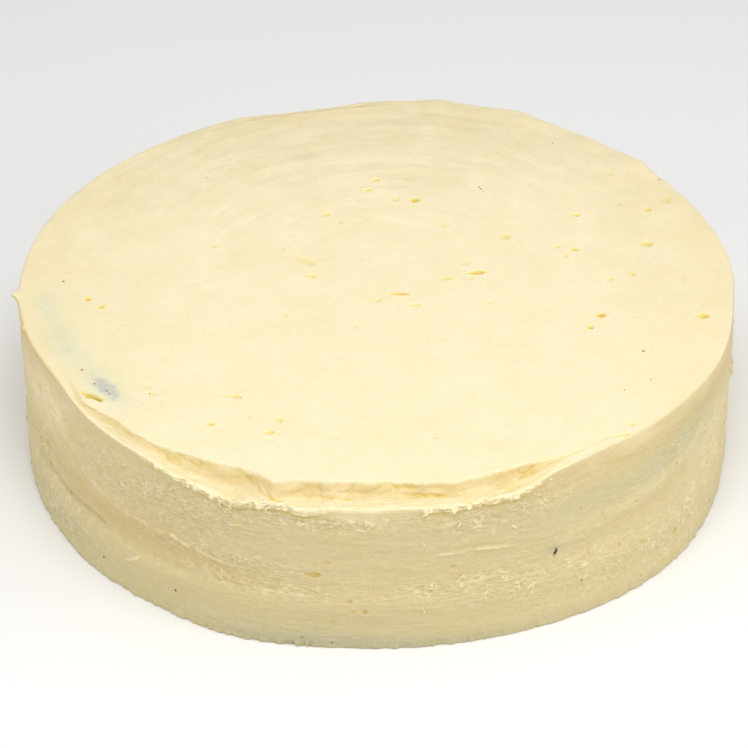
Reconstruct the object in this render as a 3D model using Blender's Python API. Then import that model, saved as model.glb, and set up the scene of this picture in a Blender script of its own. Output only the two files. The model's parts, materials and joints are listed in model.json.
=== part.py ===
"""Carrot cake: one round uncut cake, spread all over with cream cheese frosting.

Metres, +Z up. The cake stands on z = 0 and its front faces -Y. An azimuth is in degrees, counter-clockwise
seen from above, from +X, so the front is at 270 and the left side at 180. Small sizes are given in
millimetres and turned into metres by MM.
"""

import math

import bmesh
import bpy
from mathutils import Matrix, Vector, noise

MM = 0.001

# The cake
CAKE_DIAMETER = 250 * MM
CAKE_HEIGHT = 63.0 * MM
CAKE_RADIUS = CAKE_DIAMETER / 2

# Where the side bulges (+) or was scraped thin (-): azimuth, spread in degrees, millimetres
RIM_SWELLS = (
    (160, 14, 1.2),
    (110, 12, -0.6),
    (70, 8, 1.6),
    (39, 2.2, 1.2),
    (26, 8, -0.6),
    (8, 6, 0.6),
    (209, 10, -3.0),
    (266, 24, -0.3),
    (308, 6, -0.8),
    (333, 8, 1.6),
)
BASE_SWELLS = (
    (318, 13, 2.8),
    (272, 12, -0.8),
    (246, 8, 1.6),
    (218, 5, 0.6),
    (120, 20, 0.8),
    (60, 14, -0.5),
    (352, 8, -1.0),
)
# Where the edge of the top stands high or low: azimuth, spread in degrees, millimetres
EDGE_LIFTS = (
    (79, 2, 1.1),
    (70, 8, 0.5),
    (64, 2.5, 1.4),
    (39, 2, 0.5),
    (182, 5, -0.3),
    (240, 20, -0.3),
)

# The edge of the top. Mostly it is a soft corner; along a ledge the knife pressed the frosting of the top
# down and out, so that a steep step leads to a ledge, which ends in a lip that hangs over the side.
CORNER_INSET = 1.2 * MM
CORNER_DROP = 1.2 * MM
# Widths and drops of the ledges: azimuths where each starts, is full from, is full to and ends, then mm
LEDGE_WIDTHS = ((203, 236, 304, 314, 7.2), (84, 96, 107, 121, 4.5))
LEDGE_DROPS = ((203, 219, 293, 298, 2.2), (231, 246, 293, 298, 2.8), (86, 98, 106, 117, 2.2))
# Where the ledge drops this far, its section is a full step and no longer a soft corner
STEP_DROP = 3.0 * MM
LIP_OVERHANG = 1.0 * MM
LIP_THICKNESS = 1.1 * MM
# Tongues (+) and bites (-) in the outline of the flat top, along the ledge
SCALLOPS = (
    (233, 3.0, 0.8),
    (248, 3.5, -0.7),
    (253.3, 1.4, 4.0),
    (267, 4.0, -1.0),
    (283, 4.0, 1.8),
    (300, 4.0, 2.4),
)
# Where the lip hangs lower
DRIPS = ((247.5, 3.0, 2.2), (259, 1.8, 1.6), (277, 1.6, 0.9))
# The lip is torn along these stretches, and between them the knife left it smooth
TORN_STRETCHES = ((229, 236, 258, 264), (272, 277, 293, 297))
TEAR_DEPTH = 1.1 * MM
TEAR_RATE = 40.0

# One small peak of frosting, drawn out of the edge by the knife: azimuth, spread in degrees, length
PEAK = (182, 0.9)
PEAK_LENGTH = 2.4 * MM

# Sections of the step and of the soft corner, from the flat top (0, 0) to the nose of the lip (1, 1):
# share of the width outwards, share of the drop downwards
STEP_SECTION = ((0.40, 0.68), (0.65, 0.74), (0.88, 0.82), (1.0, 1.0))
CORNER_SECTION = ((0.38, 0.08), (0.71, 0.29), (0.92, 0.62), (1.0, 1.0))

# Level bands left by the scraper round the side: height, spread and depth in mm
BANDS = (
    (56, 3.0, -0.3),
    (47, 4.0, 0.3),
    (36, 5.0, -0.2),
    (26, 3.6, -0.8),
    (18, 2.6, 0.6),
    (10, 3.0, -0.3),
    (4, 2.5, 0.3),
)
BAND_WANDER = 1.4 * MM
WALL_ROUGHNESS = 0.45 * MM
TOP_ROUGHNESS = 0.35 * MM
BASE_ROUNDING = 0.4 * MM

# Air bubbles that the knife opened in the top: x, y, length, width and depth in mm
PITS = (
    (0, 69, 2.9, 2.3, 1.1),
    (-3, 62, 2.9, 2.3, 1.1),
    (7, 55, 2.4, 2.4, 1.0),
    (14, 55, 3.4, 3.4, 1.6),
    (-18, 46, 2.4, 4.2, 0.8),
    (-23, 5, 3.5, 2.3, 1.1),
    (24, 2, 4.2, 2.6, 0.9),
    (35, 6, 6.3, 3.4, 1.7),
    (46, 29, 3.6, 3.8, 0.9),
    (7, -7, 6.6, 3.0, 1.2),
    (13, -14, 3.8, 2.3, 0.8),
    (72, 44, 2.9, 2.7, 1.1),
    (98, 47, 2.9, 3.2, 1.0),
    (70, 20, 3.2, 2.7, 1.1),
    (96, 23, 4.3, 4.6, 0.8),
    (90, 4, 2.4, 2.3, 1.1),
    (77, -22, 3.8, 3.2, 1.7),
    (73, -29, 2.4, 3.0, 1.1),
    (112, -23, 4.8, 3.6, 1.2),
    (-101, -8, 2.6, 3.0, 1.2),
    (-96, -13, 2.5, 2.5, 1.1),
    (-96, -66, 7.4, 3.0, 1.7),
    (-56, -83, 3.3, 2.4, 1.0),
    (-36, -88, 3.3, 3.2, 1.0),
)
PIT_TURN = -14.0

# Mesh density
SEGMENTS = 180
# Rings of the flat top, from the middle out: share of the flat top's radius, and the ring's points as a
# share of SEGMENTS
TOP_RINGS = (
    (0.09, 4),
    (0.20, 4),
    (0.32, 2),
    (0.44, 2),
    (0.56, 2),
    (0.68, 2),
    (0.79, 2),
    (0.87, 1),
    (0.94, 1),
    (0.985, 1),
    (1.0, 1),
)
# Rows of the side, from the lip down: share of the height under the lip
WALL_ROWS = (1.0, 0.93, 0.86, 0.78, 0.69, 0.61, 0.53, 0.46, 0.40, 0.345, 0.29, 0.21, 0.12, 0.06)

# Frosting finish
FROSTING_COLOUR = (0.90, 0.79, 0.50, 1.0)
FROSTING_ROUGHNESS = 0.55


def clear_scene():
    for thing in list(bpy.data.objects):
        bpy.data.objects.remove(thing)


def frosting_material():
    material = bpy.data.materials.new("cream_cheese_frosting")
    material.use_nodes = True
    shader = material.node_tree.nodes["Principled BSDF"]
    shader.inputs["Base Color"].default_value = FROSTING_COLOUR
    shader.inputs["Roughness"].default_value = FROSTING_ROUGHNESS
    shader.inputs["Metallic"].default_value = 0.0
    return material


def swell(azimuth, swells):
    """Metres by which soft swells lift the surface at an azimuth."""
    total = 0.0
    for middle, spread, amount in swells:
        away = (azimuth - middle + 180.0) % 360.0 - 180.0
        total += amount * MM * math.exp(-0.5 * (away / spread) ** 2)
    return total


def ease(value, start, end):
    """0 at start, 1 at end, and an easy curve between them."""
    share = min(max((value - start) / (end - start), 0.0), 1.0)
    return share * share * (3.0 - 2.0 * share)


def stretch(azimuth, start, full_from, full_to, end):
    """1 inside a stretch of the edge, easing to 0 outside it."""
    return ease(azimuth, start, full_from) * (1.0 - ease(azimuth, full_to, end))


def direction(azimuth):
    angle = math.radians(azimuth)
    return Vector((math.cos(angle), math.sin(angle), 0.0))


def ledge(azimuth):
    """How far the ledge is formed (0 to 1), its width and its drop at an azimuth."""
    width = sum(stretch(azimuth, *ends) * size * MM for *ends, size in LEDGE_WIDTHS)
    drop = sum(stretch(azimuth, *ends) * size * MM for *ends, size in LEDGE_DROPS)
    share = min(drop / STEP_DROP, 1.0)
    return share, width, drop + share * swell(azimuth, DRIPS)


def wall_relief(azimuth, height):
    """Bands and uneven spreading of the side."""
    round_the_side = direction(azimuth)
    wander = BAND_WANDER * noise.noise(round_the_side * 1.3 + Vector((4.0, 0.0, 0.0)))
    relief = 0.0
    for level, spread, depth in BANDS:
        away = (height + wander) / MM - level
        strength = 0.7 + 0.6 * noise.noise(round_the_side * 1.7 + Vector((0.0, 0.0, level)))
        relief += depth * MM * strength * math.exp(-0.5 * (away / spread) ** 2)
    place = round_the_side * 5.0 + Vector((0.0, 0.0, height / (12 * MM)))
    return relief + WALL_ROUGHNESS * noise.noise(place)


def wall_radius(azimuth, height):
    share = height / CAKE_HEIGHT
    rim = swell(azimuth, RIM_SWELLS)
    base = swell(azimuth, BASE_SWELLS)
    return CAKE_RADIUS + base + (rim - base) * share + wall_relief(azimuth, height)


def top_height(place, edge_share, azimuth):
    """Height of the flat top: nearly level, a little uneven, with the lifts along its edge."""
    uneven = TOP_ROUGHNESS * noise.noise(Vector((place.x, place.y, 0.0)) / (34 * MM))
    return CAKE_HEIGHT + uneven + swell(azimuth, EDGE_LIFTS) * edge_share**6


def flat_top_radius(azimuth):
    share, width, _ = ledge(azimuth)
    inset = CORNER_INSET + width
    return CAKE_RADIUS + swell(azimuth, RIM_SWELLS) - inset + share * swell(azimuth, SCALLOPS)


def tear(azimuth):
    """How far the torn stretches of the lip are pulled out (+) or bitten back (-)."""
    torn = sum(stretch(azimuth, *edges) for edges in TORN_STRETCHES)
    return torn * TEAR_DEPTH * noise.noise(direction(azimuth) * TEAR_RATE)


def flat_top_ring(share, azimuth):
    place = direction(azimuth) * flat_top_radius(azimuth) * share
    place.z = top_height(place, share, azimuth)
    return place


def lip_nose(azimuth):
    """Radius and height of the lip's outermost line."""
    share, _, drop = ledge(azimuth)
    edge = flat_top_ring(1.0, azimuth)
    height = edge.z - CORNER_DROP - drop + 0.6 * tear(azimuth)
    away = (azimuth - PEAK[0] + 180.0) % 360.0 - 180.0
    peak = PEAK_LENGTH * math.exp(-0.5 * (away / PEAK[1]) ** 2)
    radius = wall_radius(azimuth, height) + share * LIP_OVERHANG + tear(azimuth) + peak
    return radius, height + 0.3 * peak


def edge_rows(azimuth):
    """Points from just outside the flat top to the nose of the lip."""
    share = ledge(azimuth)[0]
    inner = flat_top_ring(1.0, azimuth)
    nose_radius, nose_height = lip_nose(azimuth)
    width = nose_radius - flat_top_radius(azimuth)
    drop = inner.z - nose_height
    rows = []
    for step, corner in zip(STEP_SECTION, CORNER_SECTION):
        outwards = corner[0] + (step[0] - corner[0]) * share
        downwards = corner[1] + (step[1] - corner[1]) * share
        place = direction(azimuth) * (flat_top_radius(azimuth) + outwards * width)
        place.z = inner.z - downwards * drop
        rows.append(place)
    return rows


def wall_row(share, azimuth):
    height = share * (lip_nose(azimuth)[1] - LIP_THICKNESS)
    place = direction(azimuth) * wall_radius(azimuth, height)
    place.z = height
    return place


def base_rows(azimuth):
    """The rounded foot of the side and the edge of the flat underside."""
    radius = wall_radius(azimuth, 0.0)
    foot = direction(azimuth) * (radius - 0.15 * BASE_ROUNDING)
    foot.z = 0.7 * BASE_ROUNDING
    return foot, direction(azimuth) * (radius - BASE_ROUNDING)


def add_ring(mesh, place_at, every=1):
    """One closed ring of points; place_at gives the point at an azimuth."""
    step = 360.0 / SEGMENTS
    return [mesh.verts.new(place_at(i * step)) for i in range(0, SEGMENTS, every)]


def join_rings(mesh, inner, outer):
    """Faces between two rings, where the outer one has as many points as the inner one or twice as many."""
    ratio = len(outer) // len(inner)
    for i, first in enumerate(inner):
        second = inner[(i + 1) % len(inner)]
        far = [outer[(i * ratio + k) % len(outer)] for k in range(ratio + 1)]
        if ratio == 1:
            mesh.faces.new((first, far[0], far[1], second))
            continue
        mesh.faces.new((first, far[0], far[1]))
        mesh.faces.new((first, far[1], second))
        mesh.faces.new((second, far[1], far[2]))


def close_ring(mesh, ring, centre, facing_up):
    """A fan from a ring to its middle."""
    middle = mesh.verts.new(centre)
    for i, first in enumerate(ring):
        second = ring[(i + 1) % len(ring)]
        mesh.faces.new((first, second, middle) if facing_up else (second, first, middle))


def shape_cake(mesh):
    """The cake as rings of points, from the middle of the top, over the edge and down to the underside."""
    rings = [
        add_ring(mesh, lambda azimuth, s=share: flat_top_ring(s, azimuth), every)
        for share, every in TOP_RINGS
    ]
    for row in range(len(STEP_SECTION)):
        rings.append(add_ring(mesh, lambda azimuth, r=row: edge_rows(azimuth)[r]))
    for share in WALL_ROWS:
        rings.append(add_ring(mesh, lambda azimuth, s=share: wall_row(s, azimuth)))
    for row in range(2):
        rings.append(add_ring(mesh, lambda azimuth, r=row: base_rows(azimuth)[r]))
    for inner, outer in zip(rings, rings[1:]):
        join_rings(mesh, inner, outer)
    middle = Vector((0.0, 0.0, top_height(Vector(), 0.0, 0.0)))
    close_ring(mesh, rings[0], middle, facing_up=True)
    close_ring(mesh, rings[-1], Vector(), facing_up=False)


def new_object(name, mesh):
    data = bpy.data.meshes.new(name)
    mesh.to_mesh(data)
    mesh.free()
    thing = bpy.data.objects.new(name, data)
    bpy.context.scene.collection.objects.link(thing)
    return thing


def make_cake(material):
    mesh = bmesh.new()
    shape_cake(mesh)
    bmesh.ops.recalc_face_normals(mesh, faces=mesh.faces)
    cake = new_object("carrot_cake", mesh)
    cake.data.materials.append(material)
    cake.data.shade_smooth()
    cake.data.set_sharp_from_angle(angle=math.radians(40))
    return cake


def add_pit(mesh, pit):
    """A squashed ball that opens one air bubble."""
    x, y, length, width, depth = pit
    azimuth = math.degrees(math.atan2(y, x)) % 360.0
    place = Vector((x * MM, y * MM, 0.0))
    share = min(place.length / flat_top_radius(azimuth), 1.0)
    place.z = top_height(place, share, azimuth)
    shape = Matrix.Diagonal((length * MM, width * MM, 2 * depth * MM, 1.0))
    turn = Matrix.Rotation(math.radians(PIT_TURN), 4, "Z")
    ball = Matrix.Translation(place) @ turn @ shape
    bmesh.ops.create_icosphere(mesh, subdivisions=2, radius=0.5, matrix=ball)


def open_pits(cake):
    mesh = bmesh.new()
    for pit in PITS:
        add_pit(mesh, pit)
    balls = new_object("pit_cutters", mesh)
    balls.display_type = "WIRE"
    balls.hide_render = True
    cut = cake.modifiers.new("air_bubbles", "BOOLEAN")
    cut.operation = "DIFFERENCE"
    cut.object = balls


def centre_over_origin(cake):
    """Moves everything so that the middle of the cake's box stands over the origin."""
    bpy.context.view_layer.update()
    corners = [Vector(corner) for corner in cake.bound_box]
    middle = sum(corners, Vector()) / len(corners)
    shift = Matrix.Translation((-middle.x, -middle.y, 0.0))
    for thing in bpy.context.scene.collection.objects:
        thing.data.transform(shift)


def main():
    clear_scene()
    cake = make_cake(frosting_material())
    open_pits(cake)
    centre_over_origin(cake)


main()
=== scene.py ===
"""Carrot cake, spread all over with cream cheese frosting: the looks.

Metres, +Z up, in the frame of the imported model. The front faces -Y. An azimuth is in degrees,
counter-clockwise seen from above, from +X, so the front is at 270 and the left side at 180. Small sizes are
given in millimetres and turned into metres by MM.

The frosting is four closed pieces that meet along seams: the flat top, the edge with its ledge and torn
lip, the upper side, and the foot with the underside.
"""

import functools
import json
import math
import random

import bmesh
import bpy
from bpy.props import FloatProperty, FloatVectorProperty, IntProperty, PointerProperty
from mathutils import Matrix, Vector, noise

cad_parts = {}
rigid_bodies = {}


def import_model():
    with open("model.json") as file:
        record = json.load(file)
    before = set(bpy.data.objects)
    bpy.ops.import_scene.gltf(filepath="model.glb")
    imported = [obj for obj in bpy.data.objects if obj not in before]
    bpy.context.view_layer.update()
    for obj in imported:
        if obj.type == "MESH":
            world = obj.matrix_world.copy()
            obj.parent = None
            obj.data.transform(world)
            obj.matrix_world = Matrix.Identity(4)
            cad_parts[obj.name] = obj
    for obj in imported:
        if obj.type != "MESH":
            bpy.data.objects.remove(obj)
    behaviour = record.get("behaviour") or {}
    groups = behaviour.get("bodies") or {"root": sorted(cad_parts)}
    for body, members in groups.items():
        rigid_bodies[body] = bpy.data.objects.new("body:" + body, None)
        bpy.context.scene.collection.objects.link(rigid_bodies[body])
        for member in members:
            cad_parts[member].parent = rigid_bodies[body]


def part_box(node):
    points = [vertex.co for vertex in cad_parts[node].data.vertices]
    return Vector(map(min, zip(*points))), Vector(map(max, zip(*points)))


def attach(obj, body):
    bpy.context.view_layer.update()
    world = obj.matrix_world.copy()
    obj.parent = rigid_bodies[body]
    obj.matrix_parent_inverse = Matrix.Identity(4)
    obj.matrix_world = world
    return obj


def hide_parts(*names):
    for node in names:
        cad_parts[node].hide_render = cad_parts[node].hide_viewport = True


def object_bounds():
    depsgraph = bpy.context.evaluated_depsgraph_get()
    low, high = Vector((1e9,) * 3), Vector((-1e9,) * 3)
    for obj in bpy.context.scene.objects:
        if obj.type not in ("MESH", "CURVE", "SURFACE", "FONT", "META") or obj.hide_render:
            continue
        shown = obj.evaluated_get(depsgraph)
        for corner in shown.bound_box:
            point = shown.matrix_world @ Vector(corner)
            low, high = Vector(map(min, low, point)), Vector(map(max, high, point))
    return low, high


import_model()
cad_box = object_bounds()

bl_info = {
    "name": "Frosted Carrot Cake",
    "version": (1, 0, 0),
    "blender": (4, 5, 0),
    "location": "View3D > Sidebar > Carrot Cake",
    "description": "Spreads cream cheese frosting on a round carrot cake and sets it in a plain studio",
    "category": "Object",
}

MM = 0.001
BODY = "root"
NODE = "carrot_cake"

# Where the side bulges (+) or was scraped thin (-): azimuth, spread in degrees, millimetres
RIM_SWELLS = (
    (160, 14, 1.2),
    (110, 12, -0.6),
    (70, 8, 1.6),
    (39, 2.2, 1.2),
    (26, 8, -0.6),
    (8, 6, 0.6),
    (209, 10, -3.0),
    (266, 24, -0.3),
    (308, 6, -0.8),
    (333, 8, 1.6),
)
BASE_SWELLS = (
    (318, 13, 2.8),
    (272, 12, -0.8),
    (246, 8, 1.6),
    (218, 5, 0.6),
    (120, 20, 0.8),
    (60, 14, -0.5),
    (352, 8, -1.0),
)
# Where the edge of the top stands high or low: azimuth, spread in degrees, millimetres
EDGE_LIFTS = (
    (79, 2, 1.1),
    (70, 8, 0.5),
    (64, 2.5, 1.4),
    (39, 2, 0.5),
    (182, 5, -0.3),
    (240, 20, -0.3),
)

# Widths and drops of the ledges: azimuths where each starts, is full from, is full to and ends, then mm
LEDGE_WIDTHS = ((203, 236, 304, 314, 7.2), (84, 96, 107, 121, 4.5))
LEDGE_DROPS = ((203, 219, 291, 306, 2.2), (231, 246, 289, 299, 2.8), (86, 98, 106, 117, 2.2))
# Where the ledge drops this far, its section is a full step and no longer a soft corner
STEP_DROP = 3.0 * MM
CORNER_INSET = 1.2 * MM
CORNER_DROP = 1.2 * MM
LIP_THICKNESS = 1.1 * MM
# How far down the side the top coat reaches where it has no lip
CORNER_REACH = 2.4 * MM
# Tongues (+) and bites (-) in the outline of the flat top, along the ledge
SCALLOPS = (
    (214.5, 2.4, 3.2),
    (222.7, 1.1, -1.1),
    (231.5, 4.0, 2.0),
    (248, 3.5, -0.7),
    (253.6, 1.7, 3.0),
    (267, 4.0, -1.0),
    (283, 4.0, 1.8),
    (300, 4.0, 2.4),
)
# Where the lip hangs lower
DRIPS = ((247.5, 3.0, 2.2), (259, 1.8, 1.6))
# The lip is torn along these stretches, and between them the knife left it smooth
TORN_STRETCHES = ((229, 236, 258, 264), (274, 280, 293, 297))
TEAR_DEPTH = 1.1 * MM
TEAR_RATE = 40.0
TOOTH_RATE = 36.0
TOOTH_DEPTH = 2.0 * MM
# Where the rounded edge beyond the ledge gets a warmer painted shade, and how much
EDGE_SHADES = ((183, 193, 208, 218, 0.7), (296, 306, 330, 345, 0.35))
# Peaks of frosting, drawn out of the edge by the knife: azimuth, spread in degrees, length in mm
PEAKS = ((182, 0.45, 1.6), (182.3, 1.3, 0.9), (191.5, 0.4, 0.8))

# Sections of the edge, from the flat top to the nose of the lip. The step's knots are shares of the ledge's
# width outwards from the edge of the flat top, and shares of its drop downwards. The corner's knots are
# millimetres back from the nose and down.
STEP_KNOTS = (
    (-0.14, 0.0),
    (-0.05, 0.0),
    (0.0, 0.015),
    (0.05, 0.17),
    (0.14, 0.41),
    (0.25, 0.62),
    (0.36, 0.72),
    (0.52, 0.77),
    (0.72, 0.785),
    (0.88, 0.815),
    (0.965, 0.88),
    (1.0, 1.0),
)
CORNER_KNOTS = (
    (7.0, 0.0),
    (6.0, 0.0),
    (5.2, 0.0),
    (4.5, 0.0),
    (3.8, 0.0),
    (3.1, 0.0),
    (2.4, 0.0),
    (1.6, 0.0),
    (0.9, 0.02),
    (0.45, 0.14),
    (0.12, 0.5),
    (0.0, 1.2),
)
ROWS_BETWEEN_KNOTS = 4
# How strong the yellow painted shade is along the back edge of the top, and how far in it reaches
BACK_EDGE_SHADE = 0.14
BACK_EDGE_SHADE_WIDTH = 6.0 * MM
CURL_ROWS = 6
# How deep the pieces of the top reach, out of sight
TOP_THICKNESS = 4.6 * MM
# Where the side's two pieces meet
SPLIT_HEIGHT = 29 * MM

# Folds (+) and cracks (-) of the ledge: azimuth and mm out from the edge of the flat top at one end, the
# same at the other end, then half width and height in mm
LEDGE_MARKS = (
    (269.3, 0.35, 276.8, 0.9, 0.28, -0.45),
    (246.2, 0.5, 250.0, 1.6, 0.28, -0.5),
    (245.4, 7.3, 249.6, 7.5, 0.80, -1.3),
    (249.8, 0.4, 253.4, 3.6, 0.30, 0.5),
    (251.4, 1.5, 255.8, 4.8, 0.32, -0.6),
    (260.2, 2.4, 266.4, 4.3, 0.28, -0.65),
    (265.0, 3.1, 270.8, 3.7, 0.36, 0.6),
    (229.5, 1.6, 236.5, 2.8, 0.26, -0.4),
    (236.0, 3.4, 245.0, 4.6, 0.30, 0.4),
    (212.0, 2.4, 226.0, 3.6, 0.34, 0.3),
    (257.0, 4.6, 264.0, 5.4, 0.30, 0.4),
    (271.0, 5.4, 280.0, 4.6, 0.30, 0.45),
    (281.5, 2.6, 284.8, 5.2, 0.36, 0.6),
    (282.0, 5.6, 285.5, 6.2, 0.44, -0.4),
    (285.5, 5.6, 292.8, 3.2, 0.36, 0.7),
    (289.3, 5.4, 292.8, 4.9, 0.42, -0.4),
    (274.0, 2.0, 281.5, 2.5, 0.26, -0.6),
    (262.0, 1.6, 268.0, 1.1, 0.24, 0.3),
    (294.0, 0.9, 299.0, 1.6, 0.26, -0.3),
    (98.0, 1.5, 105.0, 2.0, 0.30, -0.5),
)
# Cracks and folds in the flat top near its edge: azimuth and radius in mm at each end, half width, height
TOP_MARKS = (
    (292.0, 119.4, 298.5, 120.1, 0.34, -0.35),
    (297.0, 120.2, 305.0, 119.9, 0.32, -0.4),
    (303.5, 120.1, 310.5, 119.7, 0.28, -0.3),
    (309.5, 120.6, 312.4, 122.4, 0.34, -0.5),
    (233.0, 82.0, 237.0, 82.3, 0.40, -0.35),
    (233.4, 80.8, 236.8, 81.2, 0.50, 0.22),
)

# Air bubbles that the knife opened in the top: x, y, length, width and depth in mm, turn in degrees
PITS = (
    (0, 68, 2.9, 2.0, 1.1, -10),
    (-3, 61, 3.1, 2.0, 1.1, 12),
    (7, 54, 2.4, 2.0, 1.0, 0),
    (14, 54, 3.6, 3.0, 1.6, 0),
    (-18, 45, 2.4, 3.2, 0.8, -40),
    (-23, 5, 4.4, 1.8, 1.0, -20),
    (24, 2, 4.6, 1.9, 0.8, 8),
    (34.6, 6, 7.2, 2.6, 1.7, 9),
    (46, 29, 3.6, 3.4, 0.8, 10),
    (7, -7, 7.4, 1.7, 1.4, -8),
    (13, -14, 4.2, 1.8, 0.8, -10),
    (72, 43, 3.1, 2.3, 1.1, -10),
    (98, 46, 2.9, 2.6, 1.0, -30),
    (70, 20, 3.2, 2.3, 1.1, 0),
    (96, 23, 4.3, 3.6, 0.8, 20),
    (90, 4, 2.4, 2.0, 1.1, 0),
    (77, -22, 4.2, 2.6, 1.6, 10),
    (73, -29, 2.4, 2.6, 1.1, 20),
    (112, -23, 4.8, 3.2, 1.2, 0),
    (-101, -8, 2.6, 2.6, 1.2, -10),
    (-96, -13, 2.5, 2.3, 1.1, 0),
    (-96.3, -66.2, 9.6, 2.1, 2.2, -34),
    (-56, -83, 3.3, 2.0, 1.0, 0),
    (-36, -88, 3.3, 2.6, 1.0, -14),
)
SMALL_PITS = (
    (33, 2, 1.4, 1.7, 0.6, 0),
    (0, -11, 2.4, 2.2, 0.5, 20),
    (-32, -19, 2.1, 2.2, 0.6, 0),
    (39, -13, 2.8, 1.7, 0.5, 0),
    (31, 12, 2.8, 2.8, 0.4, 0),
    (-34, 22, 2.1, 1.8, 0.5, 0),
    (-18, 15, 1.4, 1.4, 0.5, 0),
    (24, 37, 3.2, 3.6, 0.35, 0),
    (-26, 15, 9.4, 2.6, 0.5, -32),
    (-13, 40, 1.8, 2.8, 0.5, 0),
    (64, 22, 1.8, 1.8, 0.6, 0),
    (67, 16, 2.1, 2.3, 0.5, 0),
    (82, 1, 1.8, 2.3, 0.6, 0),
    (105, 52, 3.6, 3.6, 0.5, 0),
    (88, 50, 1.8, 1.8, 0.6, 0),
    (86, 70, 2.2, 2.6, 0.5, 0),
    (-58, 25, 1.8, 2.3, 0.6, 0),
    (-50, -67, 8.0, 1.5, 0.5, -12),
    (-33, -81, 2.3, 3.0, 0.6, 0),
    (-33, -89, 1.3, 1.5, 0.6, 0),
    (-76, -65, 3.4, 1.4, 0.6, -30),
    (-78, -61, 4.2, 1.2, 0.4, -30),
    (-43, -79, 1.3, 1.5, 0.5, 0),
    (-14, -92, 1.3, 1.5, 0.4, 0),
    (-74, -76, 1.7, 2.4, 0.4, 0),
    (84, -86, 2.6, 1.8, 0.7, 30),
    (81.8, -91.7, 3.2, 1.3, 0.7, 30),
    (19, -92, 1.0, 1.5, 0.6, 0),
)
SPECK_PITS = 60
# How much wider a bubble's worn rim is than its hollow in the tables
BUBBLE_SPREAD = 1.25
# Depth of the side's bubbles, as a share of that in the table, and their turn in degrees
SIDE_BUBBLE_DEPTH = 0.7
SIDE_BUBBLE_TURN = 4.0

# Bubbles opened in the side: azimuth, height, length, width and depth in mm
SIDE_PITS = (
    (259.8, 30.0, 5.2, 2.2, 1.1),
    (261.8, 35.5, 4.0, 1.4, 0.6),
    (280.8, 32.5, 2.6, 1.2, 0.7),
    (265.2, 19.8, 2.6, 1.0, 0.7),
    (265.7, 15.6, 2.0, 1.6, 0.7),
    (267.5, 15.7, 2.4, 2.0, 0.9),
    (262.6, 10.5, 1.4, 1.6, 0.6),
    (309.3, 21.3, 1.8, 1.4, 0.8),
    (302.1, 13.8, 1.8, 1.1, 0.8),
    (306.0, 37.3, 1.1, 1.2, 0.6),
    (302.1, 43.1, 1.2, 1.3, 0.6),
    (312.6, 36.4, 0.9, 1.1, 0.5),
    (322.1, 12.2, 2.4, 2.4, 0.9),
    (314.0, 17.5, 1.6, 1.8, 0.8),
    (31.0, 24.0, 3.0, 1.8, 0.9),
    (56.0, 40.0, 2.4, 1.6, 0.8),
    (94.0, 17.0, 3.4, 1.8, 1.0),
    (128.0, 33.0, 2.2, 1.8, 0.8),
    (163.0, 12.0, 2.6, 1.6, 0.9),
)
# Folds (+) and scraper lines (-) of the side: azimuth and height in mm at each end, half width and height
SIDE_MARKS = (
    (277.5, 38.2, 284.2, 37.9, 0.24, 0.5),
    (282.5, 39.0, 292.0, 36.6, 0.24, 0.6),
    (277.5, 40.6, 291.0, 38.6, 0.50, -0.2),
    (195.0, 20.6, 213.0, 20.8, 1.5, -1.2),
    (209.0, 20.8, 223.0, 21.8, 1.2, -1.3),
    (219.0, 21.8, 243.0, 19.8, 1.4, -0.9),
    (201.0, 20.5, 213.0, 20.9, 0.60, -0.40),
    (211.0, 20.8, 222.5, 21.8, 0.50, -0.45),
    (200.5, 47.0, 209.5, 46.2, 0.44, 0.45),
    (208.0, 46.4, 216.0, 38.0, 0.6, 0.4),
    (214.5, 38.6, 224.0, 33.8, 0.44, 0.4),
    (223.0, 33.8, 242.0, 30.6, 0.6, 0.5),
    (202.0, 53.5, 206.5, 50.0, 0.5, 0.5),
    (200.0, 15.0, 224.0, 12.0, 1.6, 0.6),
    (226.6, 12.6, 230.8, 18.4, 0.34, 1.0),
    (236.2, 33.8, 238.2, 32.3, 0.36, 0.7),
    (238.0, 32.6, 240.4, 31.0, 0.32, 0.6),
    (240.0, 31.2, 247.0, 28.6, 0.34, 0.3),
    (296.0, 31.8, 312.0, 36.2, 2.2, 0.7),
    (308.0, 35.4, 323.0, 38.8, 2.4, 1.2),
    (320.0, 38.4, 334.0, 48.0, 2.3, 1.3),
    (351.5, 33.2, 358.0, 34.4, 0.8, 1.3),
    (334.2, 41.8, 336.4, 40.6, 0.6, 0.9),
    (248.0, 21.8, 262.0, 21.0, 0.35, 0.22),
    (281.0, 24.6, 290.0, 25.8, 0.35, 0.35),
    (200.0, 47.0, 215.0, 40.5, 0.8, 0.3),
    (60.0, 31.0, 78.0, 29.0, 0.6, 0.4),
    (130.0, 45.0, 148.0, 46.5, 0.6, -0.4),
    (14.0, 36.0, 30.0, 38.0, 0.9, 0.5),
)
LOOSE_STROKES = 900

# Level bands left by the scraper round the side: height, spread and depth in mm
BANDS = (
    (56, 3.0, -0.3),
    (47, 4.0, 0.3),
    (36, 5.0, -0.2),
    (26, 3.6, -0.8),
    (18, 2.6, 0.6),
    (10, 3.0, -0.3),
    (4, 2.5, 0.3),
)
BAND_WANDER = 1.4 * MM
WALL_ROUGHNESS = 0.45 * MM
BASE_ROUNDING = 0.4 * MM
# How high up the foot is ragged and thin
RAGGED_FOOT = 3.6 * MM
# Uneven spreading of the top: height, size and place in the noise in mm
TOP_UNEVENNESS = ((0.35, 34, 0.0), (0.09, 9, 5.0), (0.05, 3.4, 9.0))
# Strokes of the knife on the top: share of the depth, size along and across in mm
KNIFE_STROKES = ((1.0, 11, 2.3), (0.3, 4, 1.6), (2.2, 26, 5.2))
# Wear of the edge of the flat top along the ledge: depth in mm and rate round the cake
EDGE_WEAR = ((0.55, 24.0), (0.35, 64.0))

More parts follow.
